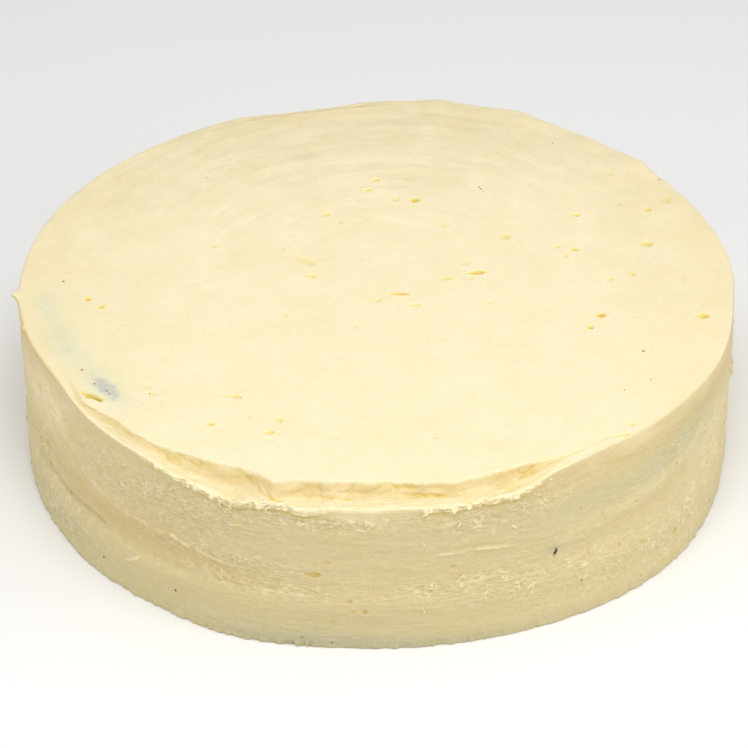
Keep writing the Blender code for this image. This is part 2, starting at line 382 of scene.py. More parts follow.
# Patches of the side: azimuth, spread in degrees, height, spread in mm, strength
TORN_PATCHES = (
    (203.5, 4, 51, 3.5, 0.4),
    (229, 7, 47, 4, 0.3),
    (236, 6, 42, 5, 0.3),
    (242, 5, 53, 3, 0.5),
    (258, 6, 53, 2.4, 1.0),
    (265, 3, 51, 2, 0.7),
    (275, 3, 55.0, 2.4, 0.8),
    (283, 5, 50, 4.5, 0.5),
    (291, 4, 50, 3.5, 0.4),
    (295, 3, 54, 2.4, 0.6),
    (243, 6, 30, 2.6, 0.3),
    (251, 6, 32, 2, 0.4),
    (247, 7, 22, 2.4, 0.4),
    (256, 6, 23, 2.0, 0.4),
    (276, 6, 24, 2.4, 0.4),
    (284, 5, 23, 3.5, 0.5),
    (290, 5, 19, 3.5, 0.4),
    (296, 6, 23, 3, 0.3),
    (306, 9, 16, 5, 0.3),
    (320, 10, 12, 6, 0.35),
    (333, 8, 20, 8, 0.24),
    (327, 7, 45, 5, 0.2),
    (196, 9, 26, 12, 0.45),
    (210, 10, 9, 5, 0.45),
    (350, 12, 24, 8, 0.5),
    (20, 16, 18, 7, 0.6),
    (60, 10, 50, 4, 0.7),
    (104, 16, 50, 4, 0.8),
    (85, 12, 12, 6, 0.4),
    (130, 14, 22, 6, 0.5),
    (155, 12, 38, 8, 0.5),
)
# Patches of close ripples, left by a scraper that chattered
RIPPLED_PATCHES = (
    (214, 7, 52, 6, 0.7),
    (203, 8, 34, 12, 0.4),
    (218, 10, 22, 7, 0.4),
    (224, 8, 46, 6, 1.0),
    (236, 8, 43, 7, 1.0),
    (248, 7, 46, 4, 0.6),
    (246, 9, 28, 5, 0.6),
    (262, 9, 24, 5, 0.3),
    (284, 9, 30, 4, 0.2),
    (300, 12, 20, 8, 0.3),
    (326, 10, 26, 10, 0.25),
    (205, 12, 10, 6, 0.7),
    (120, 30, 30, 14, 0.6),
    (40, 30, 34, 14, 0.6),
)
THIN_PATCHES = (
    (321, 11, 45, 5, 0.50),
    (300, 12, 44, 6, 0.36),
    (328, 6, 51, 6, 0.45),
    (264, 24, 8, 6, 0.22),
    (262, 26, 47, 6, 0.14),
    (256, 13, 3, 5, 0.50),
    (222, 18, 6, 6, 0.36),
    (196, 12, 14, 10, 0.28),
    (280, 18, 1, 2.5, 0.70),
    (297.4, 1.2, 30.4, 1.9, 0.9),
    (330, 14, 10, 6, 0.10),
    (40, 24, 44, 6, 0.26),
    (95, 18, 6, 5, 0.30),
    (150, 20, 28, 6, 0.24),
)
WARM_PATCHES = (
    (212, 18, 29, 5, 0.5),
    (229, 12, 28, 3.5, 0.4),
    (242, 10, 25, 3, 0.2),
    (318, 16, 57, 4, 0.65),
    (212, 12, 50, 8, 0.15),
    (338, 10, 54, 5, 0.4),
    (322, 12, 33.5, 3, 0.3),
    (272, 14, 55, 3, 0.2),
    (60, 20, 26, 5, 0.3),
    (130, 24, 56, 4, 0.3),
)
# Patches of the side where the paler coat of the top reaches down
PALE_PATCHES = (
    (268, 6.5, 55.7, 2.2, 0.50),
    (204, 6, 50, 6, 0.40),
    (192, 7, 44, 9, 0.25),
    (318, 12, 61, 3.5, 0.30),
    (214, 10, 48, 10, 0.12),
    (334, 6, 34, 11, 0.25),
    (198, 8, 14, 8, 0.12),
    (95, 16, 58, 5, 0.35),
    (30, 20, 60, 4, 0.35),
)
# Spots where the top's frosting is thin: x, y, long spread, short spread in mm, direction, strength
THIN_SPOTS = (
    (-90.6, -62.7, 4.8, 1.7, -57, 0.68),
    (-91.7, -61.2, 9.4, 3.6, -58, 0.62),
    (-105.3, -39.0, 8.0, 3.6, -66, 0.46),
    (-110.5, -25.0, 6.0, 3.2, -72, 0.30),
    (-115.5, -9.5, 6.0, 2.6, -80, 0.28),
    (-113.0, -13.0, 12.0, 4.2, -78, 0.10),
)

# Crumbs of sponge in the frosting: x, y on the top or azimuth, height on the side, then size in mm and how
# red they are, from 0 for dark to 1 for orange
TOP_CRUMBS = (
    (37.8, 62.2, 0.6, 0.1),
    (38.4, 60.9, 0.8, 0.8),
    (39.3, 59.3, 0.6, 1.0),
    (82.6, -66.5, 0.5, 0.1),
    (90.4, -44.0, 1.0, 0.9),
    (91.9, -60.6, 0.5, 0.6),
    (-109.9, 3.0, 0.9, 0.8),
    (-100.0, -51.2, 1.0, 0.8),
    (-95.3, -59.3, 0.8, 0.5),
    (-90.9, -63.4, 0.7, 0.2),
    (-90.1, -65.2, 0.6, 0.2),
    (-76.5, -64.8, 0.5, 0.1),
    (104.0, 66.0, 0.8, 0.8),
    (-62.0, 71.0, 0.5, 0.6),
    (66.0, 92.0, 0.5, 0.6),
)
SIDE_CRUMBS = (
    (297.9, 30.2, 0.7, 0.1),
    (297.9, 29.3, 1.3, 0.0),
    (297.7, 28.4, 1.2, 0.0),
    (297.5, 27.5, 0.5, 0.1),
    (221.7, 7.9, 1.0, 0.2),
    (236.9, 10.1, 0.7, 0.1),
    (258.0, 4.0, 0.7, 0.2),
    (262.6, 2.4, 0.6, 0.1),
    (322.0, 41.0, 0.5, 0.4),
    (18.0, 21.0, 1.0, 0.3),
    (74.0, 8.0, 1.2, 0.2),
    (141.0, 27.0, 0.9, 0.5),
    (168.0, 4.0, 1.0, 0.1),
)

# Mesh density: columns round the cake, closer together at the front
COLUMNS = 1408
FEWEST_COLUMNS = 36
CLOSE_COLUMNS = (166, 180, 348, 359)
CLOSER = 1.7
WALL_ROWS = 62
RING_GAP = 0.95 * MM
HIDDEN_GAP = 12 * MM
# Two rounds of finer faces on the top: how far each bubble's round reaches, as a share of the bubble's own
# reach, and which bubbles have it. Each then reaches further by a margin.
FINER_FACES = ((1.1, PITS + SMALL_PITS), (0.9, PITS))
FINER_MARGIN = 0.6 * MM
# Crumbs sink into the frosting by this share of their size
CRUMB_SINK = 0.15

# The camera, solved from the outline of the cake in a square picture
PICTURE_SIDE = 748
FOCAL_LENGTH = 3500
SENSOR_WIDTH = 36.0
CAMERA_DISTANCE = 1.24471
CAMERA_ELEVATION = 34.88
CAMERA_ROLL = -0.64
CAMERA_AIM_HEIGHT = 0.031355
OPTICAL_CENTRE = (377.42, 356.79)


# ---------------------------------------------------------------------------------------------- settings


def a_length(name, description, default, least=0.0):
    return FloatProperty(name=name, description=description, default=default, min=least, unit="LENGTH")


def a_power(name, description, default):
    return FloatProperty(name=name, description=description, default=default, min=0.0, unit="POWER")


def a_count(name, description, default):
    return IntProperty(name=name, description=description, default=default, min=0)


def a_colour(name, description, default):
    return FloatVectorProperty(
        name=name, description=description, default=default, subtype="COLOR", min=0.0, max=1.0
    )


class CakeSizes(bpy.types.PropertyGroup):
    """Sizes of the cake and of the marks in its frosting."""

    diameter: a_length("Diameter", "Diameter of the cake", 0.250, 0.05)
    height: a_length("Height", "Height of the cake", 0.063, 0.02)
    lip_overhang: a_length("Lip Overhang", "How far the lip of the ledge hangs over the side", 0.0010)
    side_streak_depth: a_length("Side Streak Depth", "Depth of the scraper's streaks on the side", 0.00022)
    top_streak_depth: a_length("Top Streak Depth", "Depth of the knife's streaks across the top", 0.00010)
    stipple_depth: a_length("Stipple Depth", "Depth of the broken surface in rough patches", 0.00030)
    net_height: a_length("Net Height", "Height of the torn net of ridges in torn patches", 0.0004)
    flake_count: a_count("Flakes", "Torn flakes for each square decimetre where it is most torn", 800)
    seed: a_count("Seed", "Seed of the loose strokes, flakes and crumbs", 5)


class CakeColours(bpy.types.PropertyGroup):
    """Colours of the frosting and the sponge crumbs. A tint is what a colour is multiplied by."""

    top: a_colour("Top", "Frosting of the top", (0.94, 0.83, 0.535))
    # The side's colour: a yellower coat than the top's, darkened further with painted shade
    side: a_colour("Side", "Frosting of the side, which was spread thinner", (0.70, 0.577, 0.30))
    # Crests and flecks: painted highlights where thin frosting stands out into the light
    crest: a_colour("Crest", "Pale crests of torn frosting and pale flecks", (0.98, 0.88, 0.60))
    # The hollow and deep tints are painted shade in bubbles, cracks, creases, net cells and under the lip
    hollow: a_colour("Hollow Tint", "Tint inside bubbles and cracks", (0.96, 0.89, 0.48))
    deep: a_colour("Deep Tint", "Second tint where they are deepest", (0.80, 0.71, 0.42))
    damp: a_colour("Damp Tint", "Tint where the frosting is rather thin", (0.82, 0.92, 1.0))
    thin: a_colour("Thin Tint", "Second tint where the sponge shows through", (0.78, 0.75, 0.98))
    # The warm tint: the side's own bands, and painted shade on the ledge's step and the rounded edge
    warm: a_colour("Warm Tint", "Tint of the side's smooth bands and the ledge's step", (0.90, 0.82, 0.66))
    # Painted shade: the top's colour is multiplied by this towards its sides and its back
    rim_shade: a_colour("Rim Shade Tint", "Tint of the top towards its sides and its back", (0.965, 0.95, 0.91))
    dark_crumb: a_colour("Dark Crumb", "Dark sponge crumbs", (0.045, 0.028, 0.014))
    orange_crumb: a_colour("Orange Crumb", "Crumbs of carrot", (0.62, 0.24, 0.07))


class StageSettings(bpy.types.PropertyGroup):
    """The floor and the lights."""

    floor: a_colour("Floor", "Colour of the floor", (0.92, 0.92, 0.92))
    surroundings: FloatProperty(
        name="Surroundings",
        description="Strength of the white light from all round",
        default=0.505,
        min=0.0,
    )
    key_power: a_power("Key Light", "Power of the big soft light over the cake", 4.0)
    left_power: a_power("Left Light", "Power of the soft light at the left", 2.65)
    right_power: a_power("Right Light", "Power of the soft light at the right", 4.25)


# ------------------------------------------------------------------------------------- rules of the shape


def ease(value, start, end):
    """0 at start, 1 at end, and an easy curve between them."""
    share = min(max((value - start) / (end - start), 0.0), 1.0)
    return share * share * (3.0 - 2.0 * share)


def stretch(azimuth, start, full_from, full_to, end):
    """1 inside a stretch of the edge, easing to 0 outside it."""
    return ease(azimuth, start, full_from) * (1.0 - ease(azimuth, full_to, end))


def hump(away):
    """A bell curve, 1 at 0."""
    return math.exp(-0.5 * away * away)


def soft_noise(x, y, z, size=1.0):
    """Smooth noise, from about -1 to 1, with lumps of a size."""
    return noise.noise(Vector((x, y, z)) / size)


def noise_round(way, rate, level):
    """Smooth noise on the side and the edge: rate is how fast it changes round the cake."""
    return soft_noise(way.x * rate, way.y * rate, level)


def turn_between(first, second):
    """Degrees from the second azimuth to the first, the short way round."""
    return (first - second + 180.0) % 360.0 - 180.0


def swell(azimuth, swells):
    """Metres by which soft swells lift the surface at an azimuth."""
    return sum(size * MM * hump(turn_between(azimuth, at) / spread) for at, spread, size in swells)


def patches(azimuth, height, table):
    """How strongly soft patches of the side cover a place."""
    total = 0.0
    for at, spread, level, rise, strength in table:
        away = turn_between(azimuth, at) / spread
        up = (height / MM - level) / rise
        if abs(away) < 3.0 and abs(up) < 3.0:
            total += strength * hump(away) * hump(up)
    return min(total, 1.0)


def direction(azimuth):
    angle = math.radians(azimuth)
    return Vector((math.cos(angle), math.sin(angle), 0.0))


def smooth_line(knots, rows_between):
    """Points on a smooth line through knots, rows_between of them up to each knot after the first."""
    ends = (knots[0], *knots, knots[-1])
    line = [knots[0]]
    for before, first, second, after in zip(ends, ends[1:], ends[2:], ends[3:]):
        for row in range(1, rows_between + 1):
            t = row / rows_between
            line.append(
                tuple(
                    0.5 * (2 * b + (c - a) * t + (2 * a - 5 * b + 4 * c - d) * t**2
                           + (3 * b - a - 3 * c + d) * t**3)
                    for a, b, c, d in zip(before, first, second, after)
                )
            )
    return line


class Chart:
    """A flat map of a surface that finds what lies near a place."""

    SQUARE = 5 * MM
    # How deep a crack or bubble has its darkest painted shade, and how high a fold has its palest painted
    # highlight
    DARKEST = 1.1 * MM
    PALEST = 0.8 * MM

    def __init__(self):
        self.squares = {}

    def put(self, item, low, high):
        """Keeps an item in all squares between two corners of its reach."""
        columns = range(math.floor(low[0] / self.SQUARE), math.floor(high[0] / self.SQUARE) + 1)
        rows = range(math.floor(low[1] / self.SQUARE), math.floor(high[1] / self.SQUARE) + 1)
        for column in columns:
            for row in rows:
                self.squares.setdefault((column, row), []).append(item)

    def near(self, along, across):
        place = (math.floor(along / self.SQUARE), math.floor(across / self.SQUARE))
        return self.squares.get(place, ())

    def marks(self, along, across):
        """Height of what lies at a place, painted shade in its cracks and bubbles, painted highlight on its
        folds.
        """
        height = 0.0
        hollow = 0.0
        pale = 0.0
        for item in self.near(along, across):
            step = item.height_at(along, across)
            height += step
            if item.tinted and step < 0.0:
                hollow -= step / self.DARKEST
            elif item.tinted:
                pale += step / self.PALEST
        return height, min(hollow, 1.0), min(pale, 1.0)


class Stroke:
    """A fold (+) or crack (-) along a line on a map. The line wanders a little."""

    REACH = 3.6
    TAPER = 4.0
    # Only narrow ones are tinted: painted shade in cracks, painted highlight on folds
    NARROW = 0.45 * MM
    WANDER = 0.45 * MM
    WANDER_SIZE = 2.4 * MM

    def __init__(self, start, end, half_width, height, named=True):
        self.start = Vector(start)
        self.line = Vector(end) - self.start
        self.half_width = half_width
        self.height = height
        self.tinted = named and half_width < self.NARROW

    def keep_in(self, chart):
        reach = self.REACH * self.half_width
        end = self.start + self.line
        low = (min(self.start.x, end.x) - reach, min(self.start.y, end.y) - reach)
        high = (max(self.start.x, end.x) + reach, max(self.start.y, end.y) + reach)
        chart.put(self, low, high)

    def height_at(self, along, across):
        away = Vector((along, across)) - self.start
        share = away.dot(self.line) / self.line.length_squared
        if not 0.0 < share < 1.0:
            return 0.0
        taper = min(1.0, self.TAPER * share, self.TAPER * (1.0 - share))
        wander = soft_noise(along, across, self.height, self.WANDER_SIZE)
        wander *= min(1.0, self.WANDER / self.half_width)
        off = away.cross(self.line) / self.line.length + 0.9 * self.half_width * wander
        return self.height * taper * (1.0 + wander) * hump(off / (self.half_width * (0.5 + 0.5 * taper)))


class Pit:
    """An air bubble that the knife opened: deep at one end, drawn out at the other, with a rim."""

    REACH = 1.4
    RIM = 0.06
    RIM_AT = 1.12
    RIM_WIDTH = 0.1
    WALL = 0.3
    NARROWING = 0.9
    DEEPEST_AT_END = 0.42
    RAGGED = 0.25
    RAGGED_SIZE = 0.9 * MM
    tinted = True

    def __init__(self, along, across, length, width, depth, turn=0.0):
        self.middle = Vector((along, across))
        self.length = length
        self.width = width
        self.depth = depth
        self.cos = math.cos(math.radians(turn))
        self.sin = math.sin(math.radians(turn))

    def keep_in(self, chart):
        reach = self.REACH * max(self.length, self.width) / 2
        chart.put(self, self.middle - Vector((reach, reach)), self.middle + Vector((reach, reach)))

    def height_at(self, along, across):
        """Metres above (+) or below (-) the surface."""
        x = along - self.middle.x
        y = across - self.middle.y
        far = (x * self.cos + y * self.sin) / (self.length / 2)
        off = (y * self.cos - x * self.sin) / (self.width / 2)
        off *= 1.0 + self.NARROWING * max(-far, 0.0)
        if abs(far) > self.REACH or abs(off) > self.REACH:
            return 0.0
        ragged = 1.0 + self.RAGGED * soft_noise(along, across, 0.0, self.RAGGED_SIZE)
        distance = math.hypot(far, off) * ragged
        if distance >= 1.0:
            return self.RIM * self.depth * hump((distance - self.RIM_AT) / self.RIM_WIDTH)
        to_end = self.DEEPEST_AT_END * max(min(far, 1.0), -1.0)
        return -self.depth * (1.0 - self.DEEPEST_AT_END + to_end) * ease(1.0 - distance, 0.0, self.WALL)


class Form:
    """The whole cake as a rule: places come from an azimuth and a height, or from x and y on the top."""

    FOLD_RATE = 13.0
    FOLD_GAP = 1.5 * MM
    FOLD_HEIGHT = 0.95 * MM
    FOLD_SKEW = 0.05
    FINE_FOLD_HEIGHT = 0.16 * MM
    CREASE_WIDTH = 0.09
    CREASE_DEPTH = 0.25 * MM
    # Specks in the top: how far out they lie, sizes in mm and turns in degrees, from least to most
    SPECK_ZONE = 0.93
    SPECK_SIZES = (0.8, 1.5)
    SPECK_TURNS = (-20, 20)
    # Loose strokes on the side, from least to most: azimuths, heights and half lengths in mm, tilts, half
    # widths in mm, and then the heights (+) and depths (-) to choose from
    STROKE_AZIMUTHS = (4.0, 356.0)
    STROKE_HEIGHTS = (1.5, 60.0)
    STROKE_HALF_LENGTHS = (1.0, 7.0)
    STROKE_TILTS = (-0.10, 0.06)
    STROKE_HALF_WIDTHS = (0.25, 0.55)
    STROKE_DEPTHS = (-0.22, -0.14, 0.14, 0.26)
    # How large the patches are where the knife pressed harder, and where its streaks set in from the front
    KNIFE_PATCH = 17 * MM
    KNIFE_SETS_IN = (-0.01, 0.08)
    # Where the back edge of the top gets its yellow painted shade, and the size of its lumps
    BACK_EDGE_SHADE_STRETCH = (0, 30, 160, 190)
    BACK_EDGE_SHADE_LUMPS = 5 * MM
    # How far back from the nose of the lip its tears and its hanging teeth reach
    TEAR_REACH = 1.1 * MM
    TOOTH_REACH = 0.5 * MM
    # Roughness of the torn lip and of its underside in mm, and how fast it changes round the cake
    LIP_ROUGHNESS = 0.5
    CURL_ROUGHNESS = 0.35
    LIP_RATE = 90

    def __init__(self, sizes):
        self.radius = sizes.diameter / 2
        self.height = sizes.height
        self.overhang = sizes.lip_overhang
        self.streak_depth = sizes.top_streak_depth
        self.seed = sizes.seed
        self.step_line = smooth_line(STEP_KNOTS, ROWS_BETWEEN_KNOTS)
        self.corner_line = smooth_line(CORNER_KNOTS, ROWS_BETWEEN_KNOTS)
        self.bulges = functools.lru_cache(None)(self.find_bulges)
        self.ledge = functools.lru_cache(None)(self.find_ledge)
        self.flat_top_radius = functools.lru_cache(None)(self.find_flat_top_radius)
        self.ledge_chart = self.strokes_round(LEDGE_MARKS)
        self.top_chart = self.top_items()
        self.side_chart = self.side_items()
        self.shift = self.find_shift()

    # Marks, kept on maps

    def along(self, azimuth):
        """Metres round the cake."""
        return math.radians(azimuth) * self.radius

    def strokes_round(self, table):
        chart = Chart()
        for first, near, second, far, half_width, height in table:
            start = (self.along(first), near * MM)
            end = (self.along(second), far * MM)
            Stroke(start, end, half_width * MM, height * MM).keep_in(chart)
        return chart

    def top_items(self):
        chart = Chart()
        for first, near, second, far, half_width, height in TOP_MARKS:
            start = (direction(first) * near * MM).xy
            end = (direction(second) * far * MM).xy
            Stroke(start, end, half_width * MM, height * MM).keep_in(chart)
        for x, y, length, width, depth, turn in PITS + SMALL_PITS:
            size = BUBBLE_SPREAD * MM
            Pit(x * MM, y * MM, length * size, width * size, depth * MM, turn).keep_in(chart)
        draw = random.Random(self.seed)
        for _ in range(SPECK_PITS):
            way = direction(draw.uniform(0, 360))
            place = way * self.radius * self.SPECK_ZONE * math.sqrt(draw.random())
            size = draw.uniform(*self.SPECK_SIZES) * MM
            turn = draw.uniform(*self.SPECK_TURNS)
            Pit(place.x, place.y, 1.5 * size, size, 0.3 * size, turn).keep_in(chart)
        return chart

    def side_items(self):
        chart = self.strokes_round(SIDE_MARKS)
        for azimuth, height, length, width, depth in SIDE_PITS:
            place = (self.along(azimuth), height * MM)
            size = BUBBLE_SPREAD * MM
            deep = SIDE_BUBBLE_DEPTH * depth * MM
            Pit(*place, length * size, width * size, deep, SIDE_BUBBLE_TURN).keep_in(chart)
        draw = random.Random(self.seed + 1)
        for _ in range(LOOSE_STROKES):
            azimuth = draw.uniform(*self.STROKE_AZIMUTHS)
            height = draw.uniform(*self.STROKE_HEIGHTS)
            torn = patches(azimuth, height * MM, TORN_PATCHES)
            half_length = draw.uniform(*self.STROKE_HALF_LENGTHS) * (1.0 - 0.7 * torn) * MM
            tilt = draw.uniform(*self.STROKE_TILTS) - 0.35 * torn * draw.random()
            size = draw.choice(self.STROKE_DEPTHS) * (0.7 + 0.8 * torn)
            start = Vector((self.along(azimuth) - half_length, height * MM - half_length * tilt))
            end = Vector((self.along(azimuth) + half_length, height * MM + half_length * tilt))
            half_width = draw.uniform(*self.STROKE_HALF_WIDTHS) * MM
            Stroke(start, end, half_width, size * MM, named=False).keep_in(chart)
        return chart

    # The top

    def find_ledge(self, azimuth):
        """How far the ledge is formed (0 to 1), its width and its drop at an azimuth."""
        width = sum(stretch(azimuth, *ends) * size * MM for *ends, size in LEDGE_WIDTHS)
        drop = sum(stretch(azimuth, *ends) * size * MM for *ends, size in LEDGE_DROPS)
        share = min(drop / STEP_DROP, 1.0)
        return share, width, drop + share * swell(azimuth, DRIPS)

    def find_flat_top_radius(self, azimuth):
        share, width, _ = self.ledge(azimuth)
        inset = CORNER_INSET + width
        wear = sum(depth * MM * noise.noise(direction(azimuth) * rate) for depth, rate in EDGE_WEAR)
        return self.radius + swell(azimuth, RIM_SWELLS) - inset + share * (swell(azimuth, SCALLOPS) + wear)

    def top_height(self, place, azimuth):
        """Height of the flat top: nearly level, a little uneven, with the lifts along its edge."""
        uneven = sum(height * MM * soft_noise(place.x, place.y, level * MM, size * MM)
                     for height, size, level in TOP_UNEVENNESS)
        edge_share = min(math.hypot(place.x, place.y) / self.flat_top_radius(azimuth), 1.0)
        return self.height + uneven + swell(azimuth, EDGE_LIFTS) * edge_share**6

    def knife_streaks(self, x, y):
        """Strokes of the knife, drawn round the middle and deeper towards the back."""
        from_middle = math.hypot(x, y)
        streaks = sum(share * soft_noise(x / (size * MM), y / (size * MM), from_middle / (gap * MM))
                      for share, size, gap in KNIFE_STROKES)
        patchy = 1.0 + 1.2 * soft_noise(x / self.KNIFE_PATCH, y / self.KNIFE_PATCH, 7.0)
        return self.streak_depth * streaks * patchy * (0.2 + 0.9 * ease(y, *self.KNIFE_SETS_IN))

    def top_spot(self, x, y):
        """Place and marks of a point of the flat top."""
        azimuth = math.degrees(math.atan2(y, x)) % 360.0
        place = Vector((x, y, 0.0))
        mark, hollow, _ = self.top_chart.marks(x, y)
        place.z = self.top_height(place, azimuth) + self.knife_streaks(x, y) + mark
        to_edge = self.flat_top_radius(azimuth) - math.hypot(x, y)
        # Yellow painted shade along the back edge of the top, carried by the hollow mark
        rim_shade = (1.0 - ease(to_edge, 0.0, BACK_EDGE_SHADE_WIDTH)) * stretch(azimuth, *self.BACK_EDGE_SHADE_STRETCH)
        rim_shade *= BACK_EDGE_SHADE * (1.0 + noise.noise(place / self.BACK_EDGE_SHADE_LUMPS))
        return place, {"hollow": max(hollow, rim_shade), "thin": thin_spots(x, y)}

    # The edge

    def torn(self, azimuth):
        """1 where the lip is torn, and 0 where the knife left it smooth."""
        return sum(stretch(azimuth, *edges) for edges in TORN_STRETCHES)

    def peaks(self, azimuth):
        """How far the drawn-out peaks stick out."""
        return swell(azimuth, PEAKS)

    def tear(self, azimuth):
        """How far the torn lip sticks out (+) or is bitten off (-)."""
        return self.torn(azimuth) * TEAR_DEPTH * noise.noise(direction(azimuth) * TEAR_RATE)

    def lip_nose(self, azimuth):
        """Radius and height of the lip's outermost line, before tears and peaks."""
        share, _, drop = self.ledge(azimuth)
        edge = direction(azimuth) * self.flat_top_radius(azimuth)
        height = self.top_height(edge, azimuth) - CORNER_DROP - drop
        overhang = self.overhang * share * (0.15 + 0.85 * self.torn(azimuth))
        return self.wall_radius(azimuth, height) + overhang, height

    def seam(self, azimuth):
        """Place where the edge ends on the side."""
        share = self.ledge(azimuth)[0]
        reach = CORNER_REACH + (LIP_THICKNESS - CORNER_REACH) * share
        height = self.lip_nose(azimuth)[1] - reach
        place = direction(azimuth) * self.wall_radius(azimuth, height)
        place.z = height
        return place

    def rim_spot(self, azimuth):
        """Place and marks where the flat top goes over into the edge."""
        share = self.ledge(azimuth)[0]
        flat_radius = self.flat_top_radius(azimuth)
        nose_radius, _ = self.lip_nose(azimuth)
        step_back = (nose_radius - flat_radius) * (1.0 - STEP_KNOTS[0][0])
        back = CORNER_KNOTS[0][0] * MM * (1.0 - share) + step_back * share
        place = direction(azimuth) * (nose_radius - back)
        return self.top_spot(place.x, place.y)

    def folds(self, azimuth, out):
        """Height of the creased folds of the ledge, and the painted shade of their creases."""
        way = direction(azimuth) * self.FOLD_RATE
        level = (out + self.FOLD_SKEW * self.along(azimuth)) / self.FOLD_GAP
        fold = abs(noise_round(way, 1.0, level))
        fine = noise_round(way, 3.5, 2.4 * level)
        deep = ease(noise_round(way, 0.6, 0.5 * level + 9.0), -0.1, 0.2)
        crease = max(0.0, 1.0 - fold / self.CREASE_WIDTH) * deep
        height = self.FOLD_HEIGHT * (fold - 0.2) + self.FINE_FOLD_HEIGHT * fine - self.CREASE_DEPTH * crease
        return height, 0.30 * crease

    def edge_section(self, azimuth):
        """Radius, height and shares of the rows from the flat top's edge to the nose of the lip."""
        share = self.ledge(azimuth)[0]
        flat_radius = self.flat_top_radius(azimuth)
        nose_radius, nose_height = self.lip_nose(azimuth)
        width = nose_radius - flat_radius
        way = direction(azimuth)
        drop = self.top_height(way * flat_radius, azimuth) - nose_height
        torn = self.torn(azimuth)
        tear = self.tear(azimuth)
        tooth = noise.noise(way * TOOTH_RATE) + 0.6 * noise.noise(way * 2.2 * TOOTH_RATE)
        tooth = torn * max(tooth, 0.0) ** 1.5 * TOOTH_DEPTH
        peak = self.peaks(azimuth)
        section = []
        for step, corner in zip(self.step_line, self.corner_line):
            back = corner[0] * MM + (width * (1.0 - step[0]) - corner[0] * MM) * share
            down = corner[1] * MM + (drop * step[1] - corner[1] * MM) * share
            pulled = hump(back / self.TEAR_REACH)
            hanging = hump(back / self.TOOTH_REACH)
            ragged = noise_round(way, self.LIP_RATE, (back - down) / (0.6 * MM))
            ragged = torn * self.LIP_ROUGHNESS * MM * ragged
            radius = nose_radius - back + (tear + peak + ragged) * pulled
            down += tooth * hanging - (0.5 * tear + 0.3 * peak) * pulled
            height = self.top_height(way * min(radius, flat_radius), azimuth) - down
            section.append((radius, height, step[0], corner[1], tooth * hanging))
        return section

    def edge_spots(self, azimuth):
        """Places and marks of the edge, from the flat top over the lip to just above the seam."""
        section = self.edge_section(azimuth)
        flat_radius = self.flat_top_radius(azimuth)
        share = self.ledge(azimuth)[0]
        torn = self.torn(azimuth)
        way = direction(azimuth)
        along = self.along(azimuth)
        spots = [self.rim_spot(azimuth)]
        for row, (radius, height, step, corner_down, teeth) in enumerate(section[1:], 1):
            before = section[row - 1]
            after = section[min(row + 1, len(section) - 1)]
            slope = Vector((after[0] - before[0], after[1] - before[1])).normalized()
            out = radius - flat_radius
            mark, hollow, _ = self.ledge_chart.marks(along, out)
            fold, crease = self.folds(azimuth, out)
            on_ledge = share * ease(step, 0.0, 0.1) * (1.0 - 0.7 * ease(step, 0.86, 1.0))
            lift = share * mark + on_ledge * fold
            on_top = way * radius
            top_mark, top_hollow_shade, _ = self.top_chart.marks(on_top.x, on_top.y)
            flat = 1.0 - ease(corner_down, 0.0, 0.3) * (1.0 - share) - ease(step, -0.02, 0.05) * share
            height += top_mark + flat * self.knife_streaks(on_top.x, on_top.y)
            place = way * (radius - slope.y * lift)
            place.z = height + slope.x * lift
            # Painted shade on the ledge's steep step: the side's darker colour, the warm tint and a little
            # hollow tint
            fading = (1.0 - 0.25 * ease(step, 0.12, 0.34) - 0.35 * ease(step, 0.34, 0.52)
                      - 0.4 * ease(step, 0.7, 0.9))
            step_shade = share * ease(step, 0.0, 0.08) * fading
            step_shade *= 1.0 + 0.5 * noise_round(way, 16, out / (2.2 * MM))
            step_shade *= 1.0 + 0.15 * ease(azimuth, 280.0, 300.0)
            # Painted shade on steep faces of the lip: the side's darker colour by slope
            side = ease(-slope.y, 0.4, 0.8) * ease(step, 0.5, 0.7) * self.side_share(azimuth, height)
            # Painted shade on the rounded edge beyond the ledge
            line = self.edge_shade(azimuth) * hump((height - spots[0][0].z) / (1.2 * MM))
            line *= ease(corner_down, -0.01, 0.05)
            side = max(side * (1.0 - min(teeth / (0.3 * MM), 1.0)), 0.42 * step_shade, 0.6 * line)
            marks = self.side_tints(azimuth, place.z, side)
            # Painted shade in the ledge's cracks and creases, on its step and in the top's bubbles
            hollow = share * (0.7 * hollow + 0.8 * crease * on_ledge) + 0.06 * step_shade + top_hollow_shade
            marks["hollow"] = min(hollow, 1.0)
            marks["warm"] = max(marks["warm"], min(0.9 * step_shade, 1.0), line)
            marks["thin"] = max(thin_spots(place.x, place.y) * (1.0 - side), marks["thin"])
            marks["flaky"] = torn * ease(step, 0.93, 1.0)
            marks["rough"] = 0.5 * share * ease(step, 0.05, 0.3)
            spots.append((place, marks))
        return spots + self.curl_spots(azimuth, spots[-1])

    def edge_shade(self, azimuth):
        """How much warmer painted shade the rounded edge gets beyond both ends of the ledge, where the step
        fades out.
        """
        beyond = sum(stretch(azimuth, *ends) * strength for *ends, strength in EDGE_SHADES)
        return (1.0 - self.ledge(azimuth)[0]) * beyond

